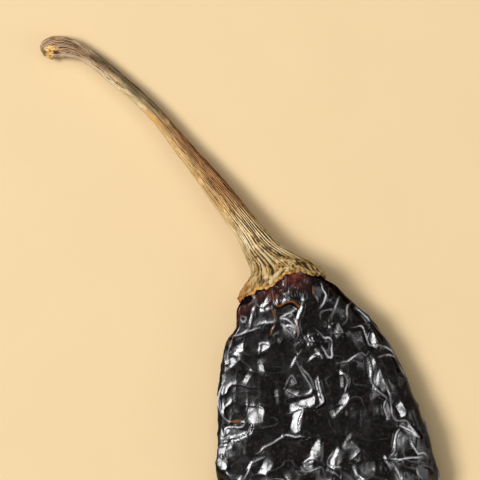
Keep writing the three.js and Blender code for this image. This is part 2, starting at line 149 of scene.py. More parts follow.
# Facets that catch the light: middle in pixels, half length and half width in pixels, the turn of
# the long side from the picture's right towards its top in degrees, and how far the facet leans
# to the light, where 1 is fully.
FACETS = [
    (266, 304, 9, 4, 55, 1.0), (250, 306, 5, 2, 60, 0.9), (299, 313, 9, 2.5, 70, 1.0),
    (288, 315, 8, 2.5, 35, 0.7), (289, 329, 7, 3, -40, 0.9), (337, 330, 6, 5, -60, 1.0),
    (330, 325, 3, 2.5, 0, 1.0), (373, 339, 7, 4, -60, 1.0), (363, 314, 11, 4, -50, 0.76),
    (239, 348, 6, 4, 35, 0.9), (232, 361, 8, 4, 40, 1.0), (265, 346, 5, 3, 30, 1.0),
    (261, 366, 8, 2.2, -75, 0.9), (248, 376, 8, 2.5, 60, 0.8), (317, 351, 4, 1.6, -50, 1.0),
    (312.7, 356.5, 5, 1.5, 35, 1.0), (293, 380, 4, 2.2, -45, 1.0), (318.5, 389, 12, 2.4, -78, 1.0),
    (340.7, 378, 9, 2, -85, 1.0), (374, 372, 15, 3.5, -80, 0.95), (380, 379, 12, 3, -75, 0.82),
    (347, 361.5, 8, 2.2, 15, 1.0), (302, 403, 14, 3.5, 18, 1.0), (291, 393, 7, 2.5, -25, 1.0),
    (255.5, 413.5, 8, 8, 0, 0.9), (296.5, 420, 10, 5, 80, 1.0), (276.7, 396, 7, 2, -80, 0.8),
    (400.5, 408.5, 7, 4, -60, 1.0), (386.5, 410, 9, 2.5, -80, 0.9), (343.5, 399, 6, 4, 60, 0.9),
    (336, 411, 7, 4, 20, 0.86), (407, 428.5, 10, 3, -40, 1.0), (395, 446, 14, 3.2, 75, 1.0),
    (406, 441, 9, 9, 0, 0.82), (316, 446, 7, 3.5, 65, 1.0), (336, 458, 10, 6, 60, 1.0),
    (352, 452, 8, 4.5, 45, 1.0), (346, 440, 8, 2, 60, 0.9), (310, 460, 8, 2, 20, 0.9),
    (311, 468, 9, 2, -10, 0.8), (263.5, 471, 12, 5, 62, 1.0), (225, 447.5, 7, 3, 25, 1.0),
    (221.5, 465, 6, 4, -50, 1.0), (223, 474.6, 5, 3, 0, 1.0), (234, 427.5, 9, 2, 10, 0.8),
    (239, 436, 9, 2, 10, 0.8), (370, 472, 12, 9, 0, 0.81), (398, 474, 8, 3.2, -55, 1.0),
    (247, 470, 10, 2, 55, 0.7), (306, 340, 5, 1, -60, 1.0), (309.5, 340, 5, 1, -60, 1.0),
    (313, 340.5, 5, 1, -60, 1.0), (244, 320, 3, 1.2, 60, 0.9), (268.5, 297, 5, 1.5, 50, 1.0),
    (271, 305, 4, 2, 80, 1.0), (257, 312.5, 3, 1.5, 30, 0.8), (286.5, 295.5, 4.5, 2.8, -40, 1.0),
    (282.3, 300.5, 3, 1.5, -50, 1.0), (293.5, 293, 4.5, 1.5, -75, 0.8), (300.5, 294, 6, 2, -75, 1.0),
    (291.8, 333.7, 4.5, 1.5, -50, 1.0), (275.8, 333, 3, 1, 20, 0.9), (279.6, 339.4, 3, 1.2, -30, 1.0),
    (297.5, 341.3, 3, 1, -25, 1.0), (238.2, 338, 3, 1.5, 10, 1.0), (412, 430.5, 8, 1.5, -42, 1.0),
    (368.5, 364, 9, 4, -80, 0.82), (364, 412, 15, 3.5, 8, 0.74), (374, 394, 6, 3, 20, 0.7),
    (387, 462, 9, 2, -60, 0.95), (359, 468, 8, 6, 0, 0.84), (349, 446, 6, 4, 45, 0.85),
    (222, 384, 9, 1.2, 80, 0.9), (219.5, 403, 6, 1, -80, 0.9), (293, 361, 6, 1.2, 65, 0.9),
]

# The sunken channel down the middle of the upper face: its depth and half width in millimetres,
# and its line in pixels of the photograph.
CHANNEL = {
    "depth": 1.9,
    "width": 2.8,
    "line": [(303, 296), (310, 328), (318, 360), (328, 400), (324, 440), (326, 482)],
}

# The calyx's ragged lower edge on the upper face, in pixels of the photograph
LIP_LINE = [
    (235.5, 304), (241, 296), (249.6, 290.4), (256.6, 287), (264.3, 284.1), (269.9, 282.7), (273.4, 280),
    (278.3, 276.4), (284.6, 271), (292.4, 268.7), (300.8, 268), (306.4, 270), (313.4, 271.5),
    (319.7, 274.3), (329, 277.1),
]

# Edges worn to the bare orange flesh, in pixels of the photograph
ORANGE_EDGES = [
    [(272.5, 292), (273.2, 300), (279, 305.8), (285.3, 302), (293, 300.7), (299.3, 306.5)],
    [(296.5, 318), (295.5, 323.7), (297.5, 330)],
    [(272.5, 309.6), (275, 319.8), (273.8, 326), (271, 332.6)],
    [(312.3, 286.7), (313, 293), (317.4, 300.7)],
    [(231.5, 336.5), (229, 342)],
    [(226, 419.5), (240, 421)],
]

# Where the traced folds give way to the net, in millimetres down from the neck point
TRACED = {"from": 46.0, "to": 52.0}

# The net of wrinkles over the rest of the skin, as in the solid
NET = {"rows": 13, "columns": 13, "start": 4, "length": 113}
NET_RELIEF = {"rise": 2.4, "tilt": 0.25, "fade": 2.2, "round": 0.6}

# How square the sections are above and below: the powers of their curve
FLATNESS = {"top": (4.5, 0.9), "bottom": (2.6, 0.6)}

# The relief calms to its least where the pod's left reach is narrow
CALM = {"narrow": 6.0, "wide": 22.0, "least": 0.3}

# The spot that the pod rests on, in plan millimetres: its radius, the reach over which the skin
# lifts off the surface, and the most that the underside's height may be at the two
REST_SPOT = {"across": 12.0, "down": 55.0, "radius": 7.0, "reach": 40.0, "pressed": -0.5, "lifted": 8}

# How lines on the skin wander: in how wide a band, over what size, and the seeds across and down
WANDER = {"reach": 0.5, "size": 1.6, "seeds": (21, 22)}

# Kinds of creases: the stretch of their noise across, down and up, its size, seed and sharpness
CREASES = {
    "wall": ((1.2, 1, 1.6), 3.6, 44, 2),
    "crumple": ((1, 1, 1.6), 5.2, 3, 3),
    "pleats": ((0.8, 1.3, 1.5), 3.4, 5, 5),
    "fine": ((1, 1.2, 1.5), 1.5, 6, 2),
    "pucker": ((1.4, 0.6, 1), 2.4, 33, 2),
    "small_pucker": ((1.4, 0.6, 1), 1.3, 34, 2),
}

# How far below the calyx's lip the skin is puckered: where that starts and is full, where it ends
PUCKERED = {"into": (0.3, 1.5), "out": (5, 12), "middle": 2, "narrows": 0.4}

# The left shoulder's bulge and the waist under it: how far down, their reach and their depth
SHOULDER = [(7.2, 2.2, 1.0), (11.8, 1.8, -0.55)]

# Marks on the skin, in plan millimetres: the middle and reach across, and down or below the lip. The
# second is painted shade under the calyx's lobe, which takes away the ruddy colour and the gloss there.
BRIGHT_SKIN = {"across": (3.2, 3.2), "below_lip": (1.0, 1.8)}
LOBE_SHADE_SPOT = {"across": (-9.0, 2.4), "down": (4.4, 2.2)}

# Where the ruddy skin ends, below the lip, across, and down the underside
RUDDY = {"below_lip": (2, 7), "across": (4.5, 8.5), "underneath": (4, 9)}


def plan(pixels):
    """Photo pixels as millimetres across and down from the neck point."""
    return (np.asarray(pixels, float) - NECK_PIXEL) * PIXEL


def through(knots, values, s):
    """A smooth curve through values at rising knots, read at the array s."""
    knots, values = np.asarray(knots, float), np.asarray(values, float)
    last = len(knots) - 1
    i = np.clip(np.searchsorted(knots, s) - 1, 0, last - 1)
    places = np.arange(last + 1)
    before, after = np.maximum(places - 1, 0), np.minimum(places + 1, last)
    slope = (values[after] - values[before]) / (knots[after] - knots[before])
    width = knots[i + 1] - knots[i]
    u = np.clip((s - knots[i]) / width, 0, 1)
    rise = (values[i + 1] - values[i]) * u * u * (3 - 2 * u)
    return values[i] + rise + u * (1 - u) ** 2 * width * slope[i] + u * u * (u - 1) * width * slope[i + 1]


def smooth(x, low, high):
    """A smooth step over x, from 0 at low to 1 at high."""
    u = np.clip((np.asarray(x, float) - low) / (high - low), 0, 1)
    return u * u * (3 - 2 * u)


def mix(a, b, share):
    """The way from a to b by a share."""
    return a + (b - a) * share


def chance(n):
    """Repeatable numbers from 0 to 1 for whole numbers n."""
    x = np.sin(np.asarray(n, float) * 12.9898 + 4.1414) * 43758.5453
    return x - np.floor(x)


def noise(points, size, seed):
    """Smooth noise from 0 to 1 over points (..., 3), with features of the given size."""
    p = np.asarray(points, float) / size + 17.3 * seed
    low = np.floor(p).astype(np.int64)
    f = p - low
    f = f * f * (3 - 2 * f)
    total = np.zeros(p.shape[:-1])
    for corner in range(8):
        step = np.array([corner & 1, (corner >> 1) & 1, (corner >> 2) & 1])
        cell = low + step
        n = cell[..., 0] * 374761393 + cell[..., 1] * 668265263 + cell[..., 2] * 1440662683 + seed * 974711
        n = (n ^ (n >> 13)) * 1274126177
        n = (n ^ (n >> 16)) & 0xFFFF
        weight = np.prod(np.where(step, f, 1 - f), axis=-1)
        total += weight * n / 0xFFFF
    return total


def ridges(points, size, seed):
    """Noise with sharp crests, from 0 to 1."""
    return 1 - np.abs(2 * noise(points, size, seed) - 1)


def line_distance(line, across, down):
    """Distance, side and share along for plan points beside a line of points."""
    best = np.full(np.shape(across), np.inf)
    side = np.ones_like(best)
    share = np.zeros_like(best)
    for i, (a, b) in enumerate(zip(line[:-1], line[1:])):
        d = b - a
        u = np.clip(((across - a[0]) * d[0] + (down - a[1]) * d[1]) / (d @ d), 0, 1)
        ox, oy = across - a[0] - u * d[0], down - a[1] - u * d[1]
        distance = np.hypot(ox, oy)
        nearer = distance < best
        best = np.where(nearer, distance, best)
        side = np.where(nearer, np.sign(d[0] * oy - d[1] * ox), side)
        share = np.where(nearer, (i + u) / (len(line) - 1), share)
    return best, side, share


def section_axes(lean, pitch):
    """Right and up directions of sections leaning in plan and pitched towards the stem."""
    right = np.stack([np.cos(lean), np.sin(lean), np.zeros_like(lean)], -1)
    up = np.stack([-np.sin(lean) * np.sin(pitch), np.cos(lean) * np.sin(pitch), np.cos(pitch)], -1)
    return right, up


def pod_value(key, at):
    """A column of the pod's sections, read at distances down the pod."""
    return through(POD_SECTIONS["at"], POD_SECTIONS[key], at)


def pod_form(at, angle):
    """The pod's smooth form without wrinkles: points and outward normals in plan millimetres."""
    right, up = section_axes(np.radians(pod_value("lean", at)), np.radians(pod_value("pitch", at)))
    cos, sin = np.cos(angle), np.sin(angle)
    width = np.where(cos > 0, pod_value("right", at), pod_value("left", at))
    height = np.where(sin > 0, pod_value("top", at), pod_value("bottom", at))
    out = np.abs(cos) ** 0.9
    sideways = np.sign(cos) * out * width
    level, turn = (np.where(sin > 0, *pair) for pair in zip(FLATNESS["top"], FLATNESS["bottom"]))
    upwards = np.sign(sin) * (1 - out**level) ** turn * height
    middle = np.stack([pod_value("across", at), -at, pod_value("mid", at)], -1)
    point = middle + right * sideways[..., None] + up * upwards[..., None]
    normal = right * (cos * height)[..., None] + up * (sin * width)[..., None]
    return point, normal / np.linalg.norm(normal, axis=-1, keepdims=True)


def net_seeds():
    """The middles of the net's panels, in rows down the pod and columns round it."""
    rows, columns = NET["rows"], NET["columns"]
    n = np.arange(rows * columns)
    at = NET["start"] + ((n // columns + 0.15 + 0.7 * chance(3 * n)) / rows) * NET["length"]
    angle = ((n % columns + 0.15 + 0.7 * chance(3 * n + 1)) / columns) * 2 * np.pi
    return pod_form(at, angle)[0]


def net_relief(point, seeds):
    """Height of the net of wrinkles, the distance to its nearest crest and how strong that is."""
    bent = point.copy()
    bent[..., 0] += 1.5 * np.sin(0.33 * point[..., 1] + 0.21 * point[..., 2])
    bent[..., 1] += 1.5 * np.sin(0.29 * point[..., 0] + 0.4 * point[..., 2] + 1)
    flat = bent.reshape(-1, 3)
    squares = (flat**2).sum(1)[:, None] - 2 * flat @ seeds.T + (seeds**2).sum(1)[None]
    order = np.argpartition(squares, 1, axis=1)[:, :2]
    near = np.take_along_axis(squares, order, 1)
    swap = near[:, 0] > near[:, 1]
    order[swap] = order[swap][:, ::-1]
    near.sort(axis=1)
    first, second = order[:, 0], order[:, 1]
    span = np.linalg.norm(seeds[first] - seeds[second], axis=1)
    edge = (near[:, 1] - near[:, 0]) / (2 * span)
    strength = 0.35 + 0.65 * chance(first * 7 + second * 7 + 5)
    slope = np.stack([chance(first * 5 + k) - 0.5 for k in range(3)], -1)
    panel = NET_RELIEF["tilt"] * 2 * ((flat - seeds[first]) * slope).sum(1) * (1 - np.exp(-edge / 1.5))
    fall = np.hypot(edge, NET_RELIEF["round"]) / NET_RELIEF["fade"]
    height = NET_RELIEF["rise"] * strength * np.exp(-fall) + panel
    shape = point.shape[:-1]
    return height.reshape(shape), edge.reshape(shape), strength.reshape(shape)


# The light that the facets turn to: its direction in the picture's plane, from the right towards
# the top, and its height over that plane, in degrees
KEY_LIGHT = {"azimuth": 172.0, "elevation": 57.0}

# The plan grid on which the traced folds are settled, in millimetres
PANEL_STEP = 0.125
PANEL_AREA = {"across": (-20.0, 44.0), "down": (-8.0, 56.0)}

# The skin's base height under the folds, the share of its rise that a crest is held to, the rise
# at which a crest has its full weight, and how far from a crest's box it is looked for
GROUND = -0.9
CREST_SHARE = 0.75
FULL_RISE = 1.6
CREST_BOX = 3

# The sharp edge along a crest
CREST_EDGE = {"rise": 0.13, "reach": 0.16}

# How firmly the skin keeps a facet's slope, any other slope, the slope of a steep drop (in a band
# beside its crest), its crests' height, its base, and its base by the neck
FIRMNESS = {"facet": 1.0, "panel": 0.15, "drop": 0.006, "crest": 0.001, "base": 3e-6, "neck": 0.02}
DROP_BAND = (0.2, 0.95)

# Rounds of relaxing for each coarseness of the grid, in steps
ROUNDS = {16: 400, 8: 400, 4: 350, 2: 300, 1: 260}

# How unevenly a facet leans, and the noise that makes it so
UNEVEN = {"share": 0.38, "size": 0.8, "seed": 23}

# The half width of an orange edge, and how strong it is before it's capped
ORANGE = {"width": 0.12, "strength": 1.8}

# The upper face is levelled between its facets up to these shares of its half width, from so far
# down, and less on the right of the axis. On the left it rises outwards.
LEVELLED = {"right_rim": (0.86, 0.98), "left_rim": (0.93, 0.997), "neck": (0.5, 7)}
ON_RIGHT = {"from": (4, 14), "levelled": 0.35}
ON_LEFT = {"from": (2, 8), "rise": 0.07}


def lean_to_light():
    """Rise of a facet per millimetre, across and up the picture, that throws the key light up."""
    half = math.radians((90 - KEY_LIGHT["elevation"]) / 2)
    azimuth = math.radians(KEY_LIGHT["azimuth"])
    return -math.tan(half) * math.cos(azimuth), -math.tan(half) * math.sin(azimuth)


def form_height(across, down):
    """Height of the smooth form's upper face over plan points, and the share of its half width."""
    at = down
    for _ in range(4):
        at = down + np.tan(np.radians(pod_value("lean", at))) * (across - pod_value("across", at))
    sideways = (across - pod_value("across", at)) / np.cos(np.radians(pod_value("lean", at)))
    width = np.where(sideways > 0, pod_value("right", at), pod_value("left", at))
    out = np.clip(np.abs(sideways) / width, 0, 1)
    level, turn = FLATNESS["top"]
    rise = (1 - out**level) ** turn
    return pod_value("mid", at) + rise * pod_value("top", at), out


def curved(line, step=0.6):
    """A line of points as a smooth curve, with points about a step apart."""
    line = np.asarray(line, float)
    lengths = np.concatenate([[0], np.cumsum(np.linalg.norm(np.diff(line, axis=0), axis=1))])
    s = np.linspace(0, lengths[-1], max(int(lengths[-1] / step), 2) + 1)
    return np.stack([through(lengths, line[:, k], s) for k in range(2)], -1)


def bell(x, middle, reach):
    """A bell over x: 1 at its middle, and nearly gone at twice its reach."""
    return np.exp(-(((x - middle) / reach) ** 2))


def between(x, into=None, out=None):
    """A mask over x that fades in over one stretch and out over another."""
    rising = 1.0 if into is None else smooth(x, *into)
    return rising if out is None else rising * (1 - smooth(x, *out))


def creases(point, kind):
    """Sharp-crested noise over the skin, of a kind in CREASES."""
    stretch, size, seed, sharpness = CREASES[kind]
    return ridges(point * stretch, size, seed) ** sharpness


def wandering(across, down):
    """Plan points moved a little by noise, so that lines drawn by their distance wander."""
    flat = np.stack([across, down, np.zeros_like(across)], -1)
    moves = [WANDER["reach"] * (noise(flat, WANDER["size"], seed) - 0.5) for seed in WANDER["seeds"]]
    return across + moves[0], down + moves[1]


def near_box(line, across, down, margin):
    """Which plan points lie within a margin of a line's box."""
    low, high = line.min(0) - margin, line.max(0) + margin
    return (across > low[0]) & (across < high[0]) & (down > low[1]) & (down < high[1])


def crest_feet(across, down):
    """For plan points: the distance to the nearest crest, the way to it across and down, and the
    crest's weight there."""
    nearest = np.full(across.shape, np.inf)
    way = np.zeros(across.shape + (2,))
    weight = np.zeros(across.shape)
    bent_across, bent_down = wandering(across, down)
    for rise, _, line in CRESTS:
        points = curved(plan(line))
        spot = np.flatnonzero(near_box(points, across, down, CREST_BOX))
        x, y = bent_across.flat[spot], bent_down.flat[spot]
        best = nearest.flat[spot]
        toward = way.reshape(-1, 2)[spot]
        best_weight = weight.flat[spot]
        lengths = len(points) - 1
        for i, (a, b) in enumerate(zip(points[:-1], points[1:])):
            d = b - a
            u = np.clip(((x - a[0]) * d[0] + (y - a[1]) * d[1]) / (d @ d), 0, 1)
            ox, oy = a[0] + u * d[0] - x, a[1] + u * d[1] - y
            distance = np.hypot(ox, oy)
            nearer = distance < best
            best = np.where(nearer, distance, best)
            toward[nearer] = np.stack([ox, oy], -1)[nearer]
            taper = np.sqrt(np.sin(np.pi * np.clip((i + u) / lengths, 0.02, 0.98)))
            best_weight = np.where(nearer, taper * min(rise / FULL_RISE, 1.2), best_weight)
        nearest.flat[spot] = best
        way.reshape(-1, 2)[spot] = toward
        weight.flat[spot] = best_weight
    return nearest, way, weight


def panels():
    """Grids over the plan: the relief of the traced folds, with facets leant to the light, crests
    drawn up and the skin between them following as well as it can, the orange edges, and the
    smooth form's own slopes."""
    steps = [np.arange(low, high, PANEL_STEP) for low, high in (PANEL_AREA["across"], PANEL_AREA["down"])]
    across, down = np.meshgrid(*steps)
    flat = np.stack([across, down, np.zeros_like(across)], -1)
    bent_across, bent_down = wandering(across, down)
    form, out = form_height(across, down)
    form_down, form_across = np.gradient(form, PANEL_STEP)
    base = np.full(across.shape, GROUND)
    distance, _, _ = line_distance(curved(plan(CHANNEL["line"])), across, down)
    base -= CHANNEL["depth"] * bell(distance, 0, CHANNEL["width"])
    firm = np.full(across.shape, FIRMNESS["panel"])
    lean_across, lean_up = lean_to_light()
    axis = pod_value("across", down)
    to_left = smooth(axis - across, *ON_LEFT["from"])
    rim = (mix(right, left, to_left) for right, left in zip(LEVELLED["right_rim"], LEVELLED["left_rim"]))
    inner = (1 - smooth(out, *rim)) * smooth(down, *LEVELLED["neck"])
    pull = mix(FIRMNESS["base"], FIRMNESS["neck"], 1 - smooth(down, -2, 1.5))
    levelled = inner * mix(1.0, ON_RIGHT["levelled"], smooth(across - axis, *ON_RIGHT["from"]))
    slope_across = -form_across * levelled - ON_LEFT["rise"] * to_left
    slope_down = -form_down * levelled
    for rise, steep, line in CRESTS:
        points = curved(plan(line))
        near = near_box(points, across, down, CREST_BOX)
        distance, side, share = line_distance(points, bent_across[near], bent_down[near])
        ends = 0.35 + 0.65 * np.sqrt(np.sin(np.pi * np.clip(share, 0.02, 0.98)))
        spot = np.flatnonzero(near)
        if steep:
            drop = (side == steep) & (distance > DROP_BAND[0]) & (distance < DROP_BAND[1])
            firm.flat[spot[drop]] = FIRMNESS["drop"]
        on = distance < PANEL_STEP * 0.6
        base.flat[spot[on]] = (GROUND + CREST_SHARE * rise * ends)[on]
        pull.flat[spot[on]] = FIRMNESS["crest"]
    uneven = noise(flat * [1, 0.6, 1], UNEVEN["size"], UNEVEN["seed"]) - 0.5
    uneven = 1 + UNEVEN["share"] * uneven
    for x, y, half_length, half_width, turn, lean in FACETS:
        cx, cy = plan((x, y))
        turn = math.radians(turn)
        dx, dy = across - cx, cy - down
        u = (dx * math.cos(turn) + dy * math.sin(turn)) / (half_length * PIXEL)
        v = (-dx * math.sin(turn) + dy * math.cos(turn)) / (half_width * PIXEL)
        inside = 1 - smooth(np.maximum(np.abs(u), np.abs(v)), 0.85, 1.15)
        leaning = lean * uneven
        slope_across = mix(slope_across, leaning * lean_across - form_across, inside)
        slope_down = mix(slope_down, -leaning * lean_up - form_down, inside)
        firm = mix(firm, FIRMNESS["facet"], inside)
    relief = settle(base, pull, firm, slope_across, slope_down)
    nearest, _, weight = crest_feet(across, down)
    relief += CREST_EDGE["rise"] * weight * (np.exp(-nearest / CREST_EDGE["reach"]) - 0.3)
    orange_near = np.full(across.shape, np.inf)
    for line in ORANGE_EDGES:
        points = curved(plan(line))
        near = near_box(points, across, down, 2)
        distance, _, _ = line_distance(points, bent_across[near], bent_down[near])
        orange_near[near] = np.minimum(orange_near[near], distance)
    orange = np.clip(ORANGE["strength"] * bell(orange_near, 0, ORANGE["width"]), 0, 1)
    return {
        "relief": relief,
        "orange": orange * smooth(noise(flat, 1.3, 26), 0.25, 0.5),
        "slope_across": form_across,
        "slope_down": form_down,
    }


def settle(base, pull, firm, slope_across, slope_down):
    """The height over the plan grid that best follows the slopes by their firmness and the base by
    its pull, relaxed from a coarse grid to the fine one."""
    relief = None
    for level, rounds in ROUNDS.items():
        step = PANEL_STEP * level
        rows, columns = (n // level for n in base.shape)

        def coarse(grid, whole=rows * level, wide=columns * level):
            return grid[:whole, :wide].reshape(rows, level, columns, level).mean((1, 3))

        held = coarse(pull) * level**2
        wanted = coarse(base * pull) / coarse(pull)
        keep = coarse(firm)
        keep_across = np.pad((keep[:, 1:] + keep[:, :-1]) / 2, ((0, 0), (1, 1)))
        keep_down = np.pad((keep[1:] + keep[:-1]) / 2, ((1, 1), (0, 0)))
        tilt_across, tilt_down = coarse(slope_across * firm), coarse(slope_down * firm)
        push_across = np.pad((tilt_across[:, 1:] + tilt_across[:, :-1]) / 2, ((0, 0), (1, 1))) * step
        push_down = np.pad((tilt_down[1:] + tilt_down[:-1]) / 2, ((1, 1), (0, 0))) * step
        push = push_across[:, :-1] - push_across[:, 1:] + push_down[:-1] - push_down[1:]
        total = keep_across[:, 1:] + keep_across[:, :-1] + keep_down[1:] + keep_down[:-1] + held
        if relief is None:
            relief = wanted
        else:
            relief = np.repeat(np.repeat(relief, 2, 0), 2, 1)
            relief = np.pad(relief, 1, mode="edge")
            relief = (relief[1:-1, :-2] + 2 * relief[1:-1, 1:-1] + relief[1:-1, 2:]) / 4
            relief = np.pad(relief, 1, mode="edge")
            relief = (relief[:-2, 1:-1] + 2 * relief[1:-1, 1:-1] + relief[2:, 1:-1]) / 4
        for _ in range(rounds):
            around = np.pad(relief, 1, mode="edge")
            drawn = keep_across[:, 1:] * around[1:-1, 2:] + keep_across[:, :-1] * around[1:-1, :-2]
            drawn += keep_down[1:] * around[2:, 1:-1] + keep_down[:-1] * around[:-2, 1:-1]
            relief = (drawn + push + held * wanted) / total
    return relief


def sample(grid, across, down):
    """Reads a plan grid smoothly at points."""
    u = np.clip((across - PANEL_AREA["across"][0]) / PANEL_STEP, 0, grid.shape[1] - 1.001)
    v = np.clip((down - PANEL_AREA["down"][0]) / PANEL_STEP, 0, grid.shape[0] - 1.001)
    i, j = u.astype(int), v.astype(int)
    fu, fv = u - i, v - j
    top = mix(grid[j, i], grid[j, i + 1], fu)
    return mix(top, mix(grid[j + 1, i], grid[j + 1, i + 1], fu), fv)


# How finely the pod's skin is laid out, in millimetres: where the photograph shows it, past that
# and underneath, and the stretch over which it coarsens
POD_GRAIN = {"shown": 0.22, "hidden": 0.78, "below": 1.6, "change": 6}
STEM_GRID = {"rings": 360, "sides": 248}

# How far down the pod its girth is measured to lay the skin out
GIRTH_AT = 40.0

# How near a crest a point is drawn onto it: fully, and no more, in steps of the grain
SNAP = (0.5, 1.3)

# The half width of the pale line along a crest, part wear and part painted highlight, in millimetres
CREST_LINE = 0.1

# How level a wall is where it is fully dull and where it shines fully
DULL_TO_GLOSSY = (0.58, 0.84)


def spread(low, high, grain, steps=4000):
    """Places from low to high whose spacing follows the grain, a function of place."""
    fine = np.linspace(low, high, steps)
    middles = (fine[1:] + fine[:-1]) / 2
    sums = np.concatenate([[0], np.cumsum(np.diff(fine) / grain(middles))])
    count = int(round(sums[-1])) + 1
    return np.interp(np.linspace(0, sums[-1], count), sums, fine)


def girth_angles():
    """Angles round the pod at an even grain, fine on the upper face."""
    angles = np.linspace(0, 2 * np.pi, 6001)
    points, _ = pod_form(np.full(angles.shape, GIRTH_AT), angles)
    lengths = np.linalg.norm(np.diff(points, axis=0), axis=1)
    middles = (angles[1:] + angles[:-1]) / 2
    upper = smooth(np.sin(middles), -0.5, -0.05)
    grain = mix(POD_GRAIN["below"], POD_GRAIN["shown"], upper)
    sums = np.concatenate([[0], np.cumsum(lengths / grain)])
    count = int(round(sums[-1]))
    return np.interp(np.arange(count) / count * sums[-1], sums, angles)


def levelness(rings):
    """How level a skin of rings is at each point: 1 lying flat, 0 standing upright."""
    along = np.gradient(rings, axis=0)
    round_it = np.roll(rings, -1, axis=1) - np.roll(rings, 1, axis=1)
    normal = np.cross(along, round_it)
    return np.abs(normal[..., 2]) / np.maximum(np.linalg.norm(normal, axis=-1), 1e-9)


